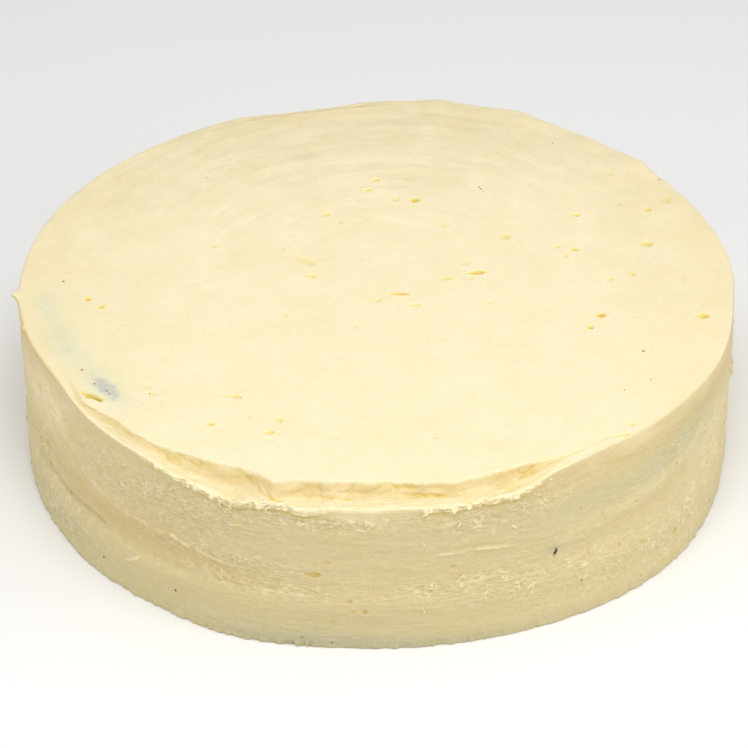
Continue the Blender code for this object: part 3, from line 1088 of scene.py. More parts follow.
    def curl_spots(self, azimuth, nose_spot):
        """From the nose of the lip down to the side, or under the lip and back to the side."""
        nose, nose_marks = nose_spot
        torn = self.torn(azimuth)
        curl = self.ledge(azimuth)[0] * (0.05 + 0.95 * torn)
        seam = self.seam(azimuth)
        way = direction(azimuth)
        radius_in = math.hypot(seam.x, seam.y)
        radius_out = math.hypot(nose.x, nose.y)
        spots = []
        for row in range(1, CURL_ROWS):
            part = row / CURL_ROWS
            height = nose.z + (seam.z - nose.z) * (part + (math.sin(part * math.pi / 2) - part) * curl)
            straight = self.wall_radius(azimuth, height) + (radius_out - radius_in) * (1.0 - part) ** 2
            curled = radius_in + (radius_out - radius_in) * math.cos(part * math.pi / 2)
            ragged = noise_round(way, self.LIP_RATE, height / (0.5 * MM))
            ragged = torn * self.CURL_ROUGHNESS * MM * ragged
            place = way * (straight + (curled - straight) * curl + ragged * (1.0 - part))
            place.z = height
            # Painted shade under the lip: the side's darker colour from the nose down, and the hollow tint
            seam_side = self.side_share(azimuth, seam.z)
            side = nose_marks["side"] + (seam_side - nose_marks["side"]) * ease(part, 0.0, 0.8)
            marks = self.side_tints(azimuth, height, side)
            marks["hollow"] = 0.4 * curl * part
            marks["flaky"] = torn * (1.0 - part)
            marks["rough"] = 0.3
            spots.append((place, marks))
        return spots

    # The side

    def side_share(self, azimuth, height):
        """How far a place of the side has the side's own colour, darkened with painted shade, and not that
        of the top's paler coat.
        """
        way = direction(azimuth)
        uneven = 1.0 + 0.9 * noise_round(way, 18, height / (4 * MM))
        return 1.0 - min(patches(azimuth, height, PALE_PATCHES) * uneven, 0.8)

    def find_bulges(self, azimuth):
        return swell(azimuth, RIM_SWELLS), swell(azimuth, BASE_SWELLS)

    def wall_relief(self, azimuth, height):
        """Bands and uneven spreading of the side."""
        way = direction(azimuth)
        wander = BAND_WANDER * noise.noise(way * 1.3 + Vector((4.0, 0.0, 0.0)))
        relief = 0.0
        for level, spread, depth in BANDS:
            strength = 0.7 + 0.6 * noise.noise(way * 1.7 + Vector((0.0, 0.0, level)))
            relief += depth * MM * strength * hump(((height + wander) / MM - level) / spread)
        return relief + WALL_ROUGHNESS * noise.noise(way * 5.0 + Vector((0.0, 0.0, height / (12 * MM))))

    def wall_radius(self, azimuth, height):
        rim, base = self.bulges(azimuth)
        return self.radius + base + (rim - base) * height / self.height + self.wall_relief(azimuth, height)

    def side_tints(self, azimuth, height, side):
        """Marks that colour the side, as far as a place belongs to it."""
        return {
            "side": side,
            "thin": side * patches(azimuth, height, THIN_PATCHES),
            "warm": side * patches(azimuth, height, WARM_PATCHES),
        }

    def wall_spot(self, azimuth, height, seam_height):
        """Place and marks of a point of the side."""
        way = direction(azimuth)
        side = self.side_share(azimuth, height)
        below = ease(seam_height - height, 0.0, (1.2 + 4.0 * (1.0 - side)) * MM)
        mark, hollow, pale = self.side_chart.marks(self.along(azimuth), height)
        torn = patches(azimuth, height, TORN_PATCHES)
        uneven = 0.16 * MM * noise_round(way, 9, height / (2.4 * MM))
        uneven += 0.30 * MM * torn * noise_round(way, 60, height / (1.3 * MM))
        rag = noise_round(way, 40, 0.0) + noise.noise(way * 110)
        low = 1.0 - ease(height, 0.0, RAGGED_FOOT)
        rag *= low * (0.55 + 0.9 * noise.noise(way * 7.0)) * MM
        radius = self.wall_radius(azimuth, height) + (mark + uneven + rag) * below
        place = way * radius
        place.z = height
        # Painted highlight: narrow folds and swells of the side take the top's paler colour; swells also
        # turn a little warmer
        swelling = ease(mark, 0.4 * MM, 1.2 * MM)
        marks = self.side_tints(azimuth, height, side * (1.0 - 0.8 * pale - 0.14 * swelling * (1.0 - pale)))
        marks["warm"] = max(marks["warm"], 0.3 * swelling * (1.0 - pale))
        # Painted shade in the side's scraper lines and bubbles, and under the lip
        marks["hollow"] = hollow * below + 0.5 * (1.0 - below) * self.torn(azimuth)
        marks["thin"] = max(marks["thin"], 0.7 * low * (0.7 + noise.noise(way * 14.0)))
        marks["flaky"] = torn * below
        marks["rough"] = min(0.1 + 0.8 * torn + 0.8 * patches(azimuth, height, RIPPLED_PATCHES), 1.0)
        marks["relief"] = below
        return place, marks

    # Where everything lies

    def find_shift(self):
        """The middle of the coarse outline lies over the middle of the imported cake's box."""
        low, high = Vector((1.0, 1.0)), Vector((-1.0, -1.0))
        for azimuth in range(0, 360, 2):
            nose_radius, nose_height = self.lip_nose(azimuth)
            radii = [nose_radius + self.tear(azimuth) + self.peaks(azimuth)]
            radii += [self.wall_radius(azimuth, nose_height * row / 10) for row in range(10)]
            corner = (direction(azimuth) * max(radii)).xy
            low = Vector(map(min, low, corner))
            high = Vector(map(max, high, corner))
        box_low, box_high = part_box(NODE)
        middle = (box_low + box_high) / 2 - ((low + high) / 2).to_3d()
        return Vector((middle.x, middle.y, box_low.z))


def thin_spots(x, y):
    """How far the sponge shows through at a place of the top."""
    total = 0.0
    for at_x, at_y, long_spread, short_spread, turn, strength in THIN_SPOTS:
        cos = math.cos(math.radians(turn))
        sin = math.sin(math.radians(turn))
        away_x = x / MM - at_x
        away_y = y / MM - at_y
        along = (away_x * cos + away_y * sin) / long_spread
        across = (away_y * cos - away_x * sin) / short_spread
        if abs(along) < 3.0 and abs(across) < 3.0:
            total += strength * hump(along) * hump(across)
    return min(total, 1.0)


# ------------------------------------------------------------------------------------------ mesh building

MARK_NAMES = ("hollow", "thin", "warm", "rough", "relief", "side", "flaky")


class Shell:
    """A closed skin under construction, made of rings of points round the cake."""

    def __init__(self):
        self.mesh = bmesh.new()
        self.layers = {name: self.mesh.verts.layers.float.new(name) for name in MARK_NAMES}
        self.flat = self.mesh.verts.layers.float.new("on_flat_top")

    def point(self, place, marks=None):
        vert = self.mesh.verts.new(place)
        for name, value in (marks or {}).items():
            vert[self.layers[name]] = value
        return vert

    def ring(self, spots):
        return [self.point(place, marks) for place, marks in spots]

    def join(self, first, second):
        """Faces between two rings that have as many points, or one has twice as many as the other."""
        if len(first) > len(second):
            first, second = second, first
        ratio = len(second) // len(first)
        for i, here in enumerate(first):
            following = first[(i + 1) % len(first)]
            far = [second[(i * ratio + k) % len(second)] for k in range(ratio + 1)]
            if ratio == 1:
                self.mesh.faces.new((here, far[0], far[1], following))
                continue
            self.mesh.faces.new((here, far[0], far[1]))
            self.mesh.faces.new((here, far[1], following))
            self.mesh.faces.new((following, far[1], far[2]))

    def join_all(self, rings):
        for first, second in zip(rings, rings[1:]):
            self.join(first, second)

    def close(self, ring, place, marks=None):
        middle = self.point(place, marks)
        for i, here in enumerate(ring):
            self.mesh.faces.new((here, ring[(i + 1) % len(ring)], middle))

    def close_flat(self, ring, azimuths, height):
        """A hidden level face that closes a ring."""
        radius_at = radii_of(azimuths, ring)
        widest = max(radius_at.values())
        rings = inner_rings(self, radius_at, azimuths, widest, HIDDEN_GAP, no_marks(height))
        self.join_all([ring, *rings])
        self.close(rings[-1], Vector((0.0, 0.0, height)))

    def sharpen(self, ring):
        """Keeps a ring's shading apart on its two sides."""
        for i, here in enumerate(ring):
            edge = self.mesh.edges.get((here, ring[(i + 1) % len(ring)]))
            edge.smooth = False

    def finish(self, name, shift):
        """The skin as a new object, with its faces outwards."""
        self.mesh.verts.layers.float.remove(self.mesh.verts.layers.float["on_flat_top"])
        bmesh.ops.triangulate(self.mesh, faces=self.mesh.faces)
        bmesh.ops.recalc_face_normals(self.mesh, faces=self.mesh.faces)
        coat = kept_mesh(self.mesh, name)
        coat.data.transform(Matrix.Translation(shift))
        return coat


def new_object(name, data):
    thing = bpy.data.objects.new(name, data)
    bpy.context.scene.collection.objects.link(thing)
    return thing


def kept_mesh(mesh, name):
    """A mesh under construction as a new object with smooth shading."""
    for face in mesh.faces:
        face.smooth = True
    data = bpy.data.meshes.new(name)
    mesh.to_mesh(data)
    mesh.free()
    return new_object(name, data)


def radii_of(azimuths, ring):
    """How far a ring's points are from the cake's axis, by their azimuths."""
    return {azimuth: math.hypot(*vert.co.xy) for azimuth, vert in zip(azimuths, ring)}


def columns():
    """Azimuths of the mesh's columns, closer together at the front."""
    steps = 3600
    closeness = [1.0 + CLOSER * stretch(360.0 * i / steps, *CLOSE_COLUMNS) for i in range(steps)]
    gap = sum(closeness) / COLUMNS
    azimuths = []
    passed = 0.0
    for i, close in enumerate(closeness):
        while len(azimuths) < COLUMNS and passed + close > gap * len(azimuths):
            azimuths.append((i + (gap * len(azimuths) - passed) / close) * 360.0 / steps)
        passed += close
    return azimuths


def inner_rings(shell, radius_at, azimuths, radius, gap, spot_at):
    """Rings from an edge in to the middle, with fewer points as they get smaller."""
    every = 2
    rings = []
    reached = radius - gap
    widest = radius
    while reached > 2.5 * gap:
        if reached < 0.5 * widest and COLUMNS // (2 * every) > FEWEST_COLUMNS:
            every *= 2
            widest = reached
        share = reached / radius
        spots = []
        for azimuth in azimuths[::every]:
            place = direction(azimuth) * radius_at[azimuth] * share
            spots.append(spot_at(place.x, place.y))
        rings.append(shell.ring(spots))
        reached -= gap
    return rings


def refine_pits(shell, form, rings):
    """Smaller faces round the bubbles of the top, and once more in the larger ones."""
    for ring in rings:
        for vert in ring:
            vert[shell.flat] = 1.0
    for reach, sizes in FINER_FACES:
        chart = Chart()
        for x, y, length, width, *_ in sizes:
            pit = (x * MM, y * MM, reach * BUBBLE_SPREAD * max(length, width) / 2 * MM + FINER_MARGIN)
            chart.put(pit, (pit[0] - pit[2], pit[1] - pit[2]), (pit[0] + pit[2], pit[1] + pit[2]))
        chosen = set()
        for vert in shell.mesh.verts:
            if vert[shell.flat] < 0.99:
                continue
            near = chart.near(vert.co.x, vert.co.y)
            if any(math.hypot(vert.co.x - x, vert.co.y - y) < size for x, y, size in near):
                chosen.update(edge for edge in vert.link_edges if edge.other_vert(vert)[shell.flat] > 0.99)
        bmesh.ops.subdivide_edges(shell.mesh, edges=list(chosen), cuts=1, use_grid_fill=True)
    for vert in shell.mesh.verts:
        if vert[shell.flat] > 0.99:
            place, marks = form.top_spot(vert.co.x, vert.co.y)
            vert.co = place
            for name, value in marks.items():
                vert[shell.layers[name]] = value


def no_marks(height):
    """Hidden places at one height."""
    return lambda x, y: (Vector((x, y, height)), {})


def moved(place, inwards, down):
    """A hidden place nearer to the cake's axis and lower."""
    radius = math.hypot(place.x, place.y)
    share = (radius - inwards) / radius
    return Vector((place.x * share, place.y * share, place.z - down)), {}


def shape_flat_top(form):
    shell = Shell()
    azimuths = columns()
    rim = shell.ring([form.rim_spot(azimuth) for azimuth in azimuths])
    radius_at = radii_of(azimuths, rim)
    mean = sum(radius_at.values()) / COLUMNS
    flat = inner_rings(shell, radius_at, azimuths, mean, RING_GAP, form.top_spot)
    shell.join_all([rim, *flat])
    shell.close(flat[-1], *form.top_spot(0.0, 0.0))
    under = shell.ring([moved(vert.co, 1 * MM, TOP_THICKNESS) for vert in rim])
    shell.join(rim, under)
    shell.close_flat(under, azimuths, form.height - TOP_THICKNESS)
    shell.sharpen(rim)
    refine_pits(shell, form, flat)
    return shell.finish("top_frosting", form.shift)


def shape_edge(form):
    shell = Shell()
    azimuths = columns()
    rings = [shell.ring(spots) for spots in zip(*map(form.edge_spots, azimuths))]
    seam = shell.ring([(form.seam(azimuth), form.wall_spot(azimuth, form.seam(azimuth).z, 0.0)[1])
                       for azimuth in azimuths])
    under = shell.ring([moved(vert.co, 3 * MM, -0.1 * MM) for vert in seam[::2]])
    inside = shell.ring([moved(vert.co, -1 * MM, TOP_THICKNESS) for vert in rings[0][::2]])
    shell.join_all([*rings, seam, under, inside, rings[0]])
    shell.sharpen(rings[0])
    shell.sharpen(seam)
    return shell.finish("edge_frosting", form.shift)


def start_wall(form, top, bottom):
    """A piece of the side, with its rings from one level, or from the seam, down to another."""
    shell = Shell()
    azimuths = columns()
    seams = [form.seam(azimuth).z for azimuth in azimuths]
    rings = []
    for row in range(WALL_ROWS + 1):
        spots = []
        for azimuth, seam in zip(azimuths, seams):
            high = seam if top is None else top
            spots.append(form.wall_spot(azimuth, high + (bottom - high) * row / WALL_ROWS, seam))
        rings.append(shell.ring(spots))
    return shell, azimuths, seams, rings


def cap_inside(shell, ring, azimuths, height):
    """Hidden faces from a ring inwards, which close a piece of the side."""
    inner = shell.ring([moved(vert.co, 3 * MM, 0.0) for vert in ring[::2]])
    shell.join(ring, inner)
    shell.close_flat(inner, azimuths[::2], height)
    shell.sharpen(ring)


def shape_side(form):
    """The side from just under the edge down to the split."""
    shell, azimuths, seams, rings = start_wall(form, None, SPLIT_HEIGHT)
    shell.join_all(rings)
    cap_inside(shell, rings[0], azimuths, min(seams) - 1 * MM)
    cap_inside(shell, rings[-1], azimuths, SPLIT_HEIGHT)
    return shell.finish("side_frosting", form.shift)


def shape_foot(form):
    """The side from the split down to its rounded foot, and the flat underside."""
    shell, azimuths, _, rings = start_wall(form, SPLIT_HEIGHT, BASE_ROUNDING)
    foot = [vert.co.copy() for vert in rings[-1]]
    for inwards, height in ((0.05 * MM, 0.4 * BASE_ROUNDING), (0.3 * MM, 0.0)):
        spots = [moved(place, inwards, place.z - height)[0] for place in foot]
        rings.append(shell.ring([(place, {"side": 1.0, "thin": 0.3}) for place in spots]))
    shell.join_all(rings)
    cap_inside(shell, rings[0], azimuths, SPLIT_HEIGHT)
    shell.close_flat(rings[-1], azimuths, 0.0)
    return shell.finish("foot_frosting", form.shift)


def bumpy_ball(name, seed):
    """A crumb, one unit across: a small ball with dents."""
    mesh = bmesh.new()
    bmesh.ops.create_icosphere(mesh, subdivisions=2, radius=0.5)
    offset = Vector((seed * 3.7, seed * 1.3, 0.0))
    for vert in mesh.verts:
        vert.co *= 1.0 + 0.8 * noise.noise(vert.co * 4.1 + offset)
        vert.co.z *= 0.8
    return kept_mesh(mesh, name)


def torn_flake(name, seed):
    """A torn flake, about one unit long: bent thin ridges that sink in at their ends, joined at one end."""
    draw = random.Random(seed)
    stations = 6
    sides = 5
    mesh = bmesh.new()
    for branch in range(draw.choice((1, 2, 2))):
        length = 1.0 if branch == 0 else draw.uniform(0.4, 0.8)
        turn = Matrix.Rotation(branch * draw.choice((-1, 1)) * draw.uniform(0.5, 1.4), 4, "Z")
        bend = draw.uniform(-0.6, 0.6)
        lift = draw.uniform(0.06, 0.17)
        rings = []
        for i in range(stations):
            share = i / (stations - 1)
            rise = math.sin(math.pi * share)
            thick = (0.06 + 0.08 * rise) * draw.uniform(0.7, 1.3)
            aside = bend * share * (1.0 - share) + draw.uniform(-0.04, 0.04)
            spine = Vector((share, aside, lift * rise - 0.05))
            ring = []
            for k in range(sides):
                angle = 2 * math.pi * k / sides
                around = Vector((0.0, math.cos(angle), math.sin(angle))) * thick
                ring.append(mesh.verts.new(turn @ (spine + around) * length))
            rings.append(ring)
        for first, second in zip(rings, rings[1:]):
            for k in range(sides):
                mesh.faces.new((first[k], first[(k + 1) % sides], second[(k + 1) % sides], second[k]))
        mesh.faces.new(rings[0])
        mesh.faces.new(rings[-1])
    bmesh.ops.recalc_face_normals(mesh, faces=mesh.faces)
    return kept_mesh(mesh, name)


# -------------------------------------------------------------------------------------------------- nodes


class Wire:
    """An output of a node. Plain maths on it adds Math nodes."""

    def __init__(self, board, socket):
        self.board = board
        self.socket = socket

    def maths(self, operation, first, second):
        return self.board.node("ShaderNodeMath", {"operation": operation}, {0: first, 1: second})

    def __add__(self, other):
        return self.maths("ADD", self, other)

    def __radd__(self, other):
        return self.maths("ADD", other, self)

    def __sub__(self, other):
        return self.maths("SUBTRACT", self, other)

    def __rsub__(self, other):
        return self.maths("SUBTRACT", other, self)

    def __mul__(self, other):
        return self.maths("MULTIPLY", self, other)

    def __rmul__(self, other):
        return self.maths("MULTIPLY", other, self)

    def __truediv__(self, other):
        return self.maths("DIVIDE", self, other)

    def __rtruediv__(self, other):
        return self.maths("DIVIDE", other, self)

    def kept_within(self, low=0.0, high=1.0):
        return self.maths("MINIMUM", self.maths("MAXIMUM", self, low), high)


def opaque(colour):
    """A colour as a socket takes it: with its alpha, or a wire as it is."""
    return colour if isinstance(colour, Wire) else (*colour, 1.0)


class Board:
    """A node tree that is being written."""

    def __init__(self, tree):
        self.tree = tree

    def node(self, kind, settings=None, sockets=None, output=0):
        """Adds a node: first its settings, then the values or wires of its sockets. Gives one output."""
        node = self.tree.nodes.new(kind)
        for name, value in (settings or {}).items():
            setattr(node, name, value)
        self.feed(node, sockets or {})
        return Wire(self, node.outputs[output]) if node.outputs else None

    def feed(self, node, sockets):
        """Gives the sockets of a node their values or wires."""
        for name, value in sockets.items():
            if isinstance(value, Wire):
                self.tree.links.new(value.socket, node.inputs[name])
            else:
                node.inputs[name].default_value = value

    def mark(self, name):
        """A mark of the mesh in a material."""
        return self.node("ShaderNodeAttribute", {"attribute_name": name}, output="Fac")

    def measure(self, name):
        """A mark of the mesh in Geometry Nodes."""
        settings = {"data_type": "FLOAT"}
        return self.node("GeometryNodeInputNamedAttribute", settings, {"Name": name}, "Attribute")

    def kept(self, geometry, name, value):
        """Writes a mark on a mesh in Geometry Nodes."""
        settings = {"data_type": "FLOAT", "domain": "POINT"}
        sockets = {"Geometry": geometry, "Name": name, "Value": value}
        return self.node("GeometryNodeStoreNamedAttribute", settings, sockets)

    def drawn(self, low, high, seed):
        """A random number for each point in Geometry Nodes."""
        sockets = {2: low, 3: high, "Seed": seed}
        return self.node("FunctionNodeRandomValue", {"data_type": "FLOAT"}, sockets, 1)

    def vector(self, operation, first, second=None, output="Vector"):
        sockets = {0: first}
        if second is not None:
            sockets[1] = second
        return self.node("ShaderNodeVectorMath", {"operation": operation}, sockets, output)

    def scaled(self, vector, factor):
        sockets = {0: vector, "Scale": factor}
        return self.node("ShaderNodeVectorMath", {"operation": "SCALE"}, sockets, "Vector")

    def split(self, vector):
        parts = self.node("ShaderNodeSeparateXYZ", None, {0: vector})
        return [Wire(self, socket) for socket in parts.socket.node.outputs]

    def joined(self, x, y, z):
        return self.node("ShaderNodeCombineXYZ", None, {0: x, 1: y, 2: z})

    def cloud(self, vector, scale, detail=2.0, roughness=0.5, seed=0.0):
        """Soft noise from 0 to 1, about 0.5."""
        sockets = {"Vector": vector, "W": seed, "Scale": scale, "Detail": detail, "Roughness": roughness}
        return self.node("ShaderNodeTexNoise", {"noise_dimensions": "4D"}, sockets, 0)

    def streaks(self, place, level, length, width, detail, seed):
        """Soft noise drawn out round the cake, thin along the wire level."""
        x, y, _ = self.split(place)
        return self.cloud(self.joined(x / length, y / length, level / width), 1.0, detail, 0.6, seed)

    def bent(self, place, size, amount):
        """A place pushed about by soft noise."""
        sockets = {"Vector": place, "Scale": 1.0 / size, "Detail": 1.0}
        push = self.node("ShaderNodeTexNoise", {"noise_dimensions": "3D"}, sockets, "Color")
        push = self.vector("SUBTRACT", push, (0.5, 0.5, 0.5))
        return self.vector("ADD", place, self.scaled(push, amount))

    def net(self, place, size, share):
        """A net of ridges between cells of a size: 1 on a ridge, 0 beyond a share of a cell from it."""
        settings = {"voronoi_dimensions": "3D", "feature": "DISTANCE_TO_EDGE"}
        sockets = {"Vector": place, "Scale": 1.0 / size}
        away = self.node("ShaderNodeTexVoronoi", settings, sockets, "Distance")
        return (1 - away / share).kept_within()

    def tinted(self, colour, tint, strength):
        """A colour multiplied by a tint, as far as strength says."""
        return self.blended(colour, tint, strength, "MULTIPLY")

    def blended(self, first, second, share, how="MIX"):
        settings = {"data_type": "RGBA", "blend_type": how}
        return self.node("ShaderNodeMix", settings, {0: share, 6: opaque(first), 7: opaque(second)}, 2)

    def shaded(self, colour, shade, blue_shade=None):
        """A colour made lighter or darker, and its blue by a number of its own if there is one."""
        blue_shade = blue_shade or shade
        return self.vector("MULTIPLY", colour, self.joined(shade, shade, blue_shade))

    def bump(self, height, distance, strength=1.0, normal=None):
        sockets = {"Height": height, "Distance": distance, "Strength": strength}
        if normal is not None:
            sockets["Normal"] = normal
        return self.node("ShaderNodeBump", None, sockets, "Normal")


# ----------------------------------------------------------------------------------------- Geometry Nodes


def new_tree(name, inputs):
    """An empty Geometry Nodes tree with named inputs, and its wires."""
    tree = bpy.data.node_groups.new(name, "GeometryNodeTree")
    tree.interface.new_socket("Geometry", in_out="INPUT", socket_type="NodeSocketGeometry")
    tree.interface.new_socket("Geometry", in_out="OUTPUT", socket_type="NodeSocketGeometry")
    for label, kind in inputs:
        tree.interface.new_socket(label, in_out="INPUT", socket_type="NodeSocket" + kind)
    board = Board(tree)
    start = tree.nodes.new("NodeGroupInput")
    given = {socket.name: Wire(board, socket) for socket in start.outputs if socket.name}
    return tree, board, given


def end_tree(board, geometry, material):
    """Makes real what was placed, gives it its material and hands it out."""
    real = board.node("GeometryNodeRealizeInstances", None, {"Geometry": geometry})
    coated = board.node("GeometryNodeSetMaterial", None, {"Geometry": real, "Material": material})
    board.node("NodeGroupOutput", None, {"Geometry": coated})


def run_tree(thing, tree, values):
    """Runs a tree on an object with these inputs, and keeps the result as its plain mesh."""
    modifier = thing.modifiers.new(tree.name, "NODES")
    modifier.node_group = tree
    for item in tree.interface.items_tree:
        if item.item_type == "SOCKET" and item.in_out == "INPUT" and item.name in values:
            modifier[item.identifier] = values[item.name]
    bpy.context.view_layer.update()
    graph = bpy.context.evaluated_depsgraph_get()
    made = bpy.data.meshes.new_from_object(
        thing.evaluated_get(graph), preserve_all_data_layers=True, depsgraph=graph
    )
    thing.modifiers.remove(modifier)
    before = thing.data
    thing.data = made
    bpy.data.meshes.remove(before)
    made.name = thing.name
    if not made.polygons:
        raise RuntimeError(f"{thing.name}: {tree.name} left nothing")


def relief_tree():
    """Streaks of the scraper round the side, and a broken surface in torn patches."""
    inputs = (
        ("Streak Length", "Float"),
        ("Streak Width", "Float"),
        ("Streak Depth", "Float"),
        ("Stipple Size", "Float"),
        ("Stipple Depth", "Float"),
        ("Net Size", "Float"),
        ("Net Height", "Float"),
        ("Seed", "Float"),
        ("Material", "Material"),
    )
    tree, board, given = new_tree("scraped_relief", inputs)
    place = board.node("GeometryNodeInputPosition")
    x, y, level = board.split(place)
    outwards = board.vector("NORMALIZE", board.joined(x, y, 0.0))
    length = given["Streak Length"]
    width = given["Streak Width"]
    streaks = board.streaks(place, level, length, width, 3.0, given["Seed"]) - 0.5
    broad = board.streaks(place, level, length * 3, width * 3, 1.0, given["Seed"]) - 0.5
    stipple = board.cloud(place, 1 / given["Stipple Size"], 2.0, 0.55, given["Seed"]) - 0.5
    torn = board.measure("flaky")
    some = (board.cloud(place, 230.0, 2.0, 0.5, given["Seed"]) * 8 - 4.0).kept_within()
    some = some * (torn * 1.6).kept_within()
    web = board.net(board.scaled(board.bent(place, 1.6 * MM, 1.5 * MM), 1 / given["Net Size"]), 1.0, 0.22)
    stipple = stipple * board.measure("rough") * given["Stipple Depth"]
    lift = (streaks + broad) * given["Streak Depth"] + stipple
    lift = 2 * lift + some * given["Net Height"] * (1.2 * web - 0.2)
    offset = board.scaled(outwards, lift * board.measure("relief"))
    sockets = {"Geometry": given["Geometry"], "Offset": offset}
    lifted = board.node("GeometryNodeSetPosition", None, sockets)
    # Painted highlight on the net's crests, and painted shade in its cells
    crest = 0.8 * some * (1.8 * web - 0.6).kept_within()
    hollow = board.measure("hollow") + 0.12 * some * (1 - web)
    marked = board.kept(board.kept(lifted, "crest", crest), "hollow", hollow)
    end_tree(board, marked, given["Material"])
    return tree


def place_shapes(board, points, shapes, turn, size, material):
    """Puts one shape of a collection at each point, and ends the tree."""
    picked = board.node(
        "GeometryNodeCollectionInfo",
        {"transform_space": "ORIGINAL"},
        {"Collection": shapes, "Separate Children": True, "Reset Children": True},
    )
    sockets = {"Points": points, "Instance": picked, "Pick Instance": True, "Rotation": turn, "Scale": size}
    end_tree(board, board.node("GeometryNodeInstanceOnPoints", None, sockets), material)


def flake_tree():
    """Torn flakes, scattered in clusters where the frosting is torn, and lying along it."""
    inputs = (
        ("Flakes", "Collection"),
        ("Count", "Float"),
        ("Cluster Size", "Float"),
        ("Smallest", "Float"),
        ("Largest", "Float"),
        ("Brightness", "Float"),
        ("Seed", "Int"),
        ("Material", "Material"),
    )
    tree, board, given = new_tree("torn_flakes", inputs)
    place = board.node("GeometryNodeInputPosition")
    clusters = (board.cloud(place, 1 / given["Cluster Size"], 2.0) * 7 - 3.2).kept_within()
    sockets = {
        "Mesh": given["Geometry"],
        "Density": given["Count"] * board.measure("flaky") * clusters,
        "Seed": given["Seed"],
    }
    settings = {"distribute_method": "RANDOM"}
    points = board.node("GeometryNodeDistributePointsOnFaces", settings, sockets, "Points")
    lie = Wire(board, points.socket.node.outputs["Rotation"])
    # Each flake gets a painted highlight by its share, and less of the side's painted shade
    highlight_share = given["Brightness"]
    for name, value in (("crest", highlight_share), ("side", 1 - highlight_share), ("hollow", 0.0), ("thin", 0.0)):
        points = board.kept(points, name, value)
    sockets = {"Axis": (0.0, 0.0, 1.0), "Angle": board.drawn(0.0, 2 * math.pi, given["Seed"])}
    spin = board.node("FunctionNodeAxisAngleToRotation", None, sockets, "Rotation")
    sockets = {"Rotation": lie, "Rotate By": spin}
    turn = board.node("FunctionNodeRotateRotation", {"rotation_space": "LOCAL"}, sockets)
    size = board.drawn(given["Smallest"], given["Largest"], given["Seed"] + 1)
    place_shapes(board, points, given["Flakes"], turn, size, given["Material"])
    return tree


def crumb_tree():
    """A crumb of its own size at each point."""
    inputs = (("Crumbs", "Collection"), ("Seed", "Int"), ("Material", "Material"))
    tree, board, given = new_tree("sponge_crumbs", inputs)
    points = board.node("GeometryNodeMeshToPoints", None, {"Mesh": given["Geometry"]})
    sockets = {0: (0.0, 0.0, 0.0), 1: (2 * math.pi,) * 3, "Seed": given["Seed"]}
    angles = board.node("FunctionNodeRandomValue", {"data_type": "FLOAT_VECTOR"}, sockets, 0)
    turn = board.node("FunctionNodeEulerToRotation", None, {"Euler": angles})
    place_shapes(board, points, given["Crumbs"], turn, board.measure("size"), given["Material"])
    return tree


# ---------------------------------------------------------------------------------------------- materials


def new_recipe(name):
    """A new material, its board and its shader."""
    material = bpy.data.materials.new(name)
    material.use_nodes = True
    board = Board(material.node_tree)
    return material, board, material.node_tree.nodes["Principled BSDF"]


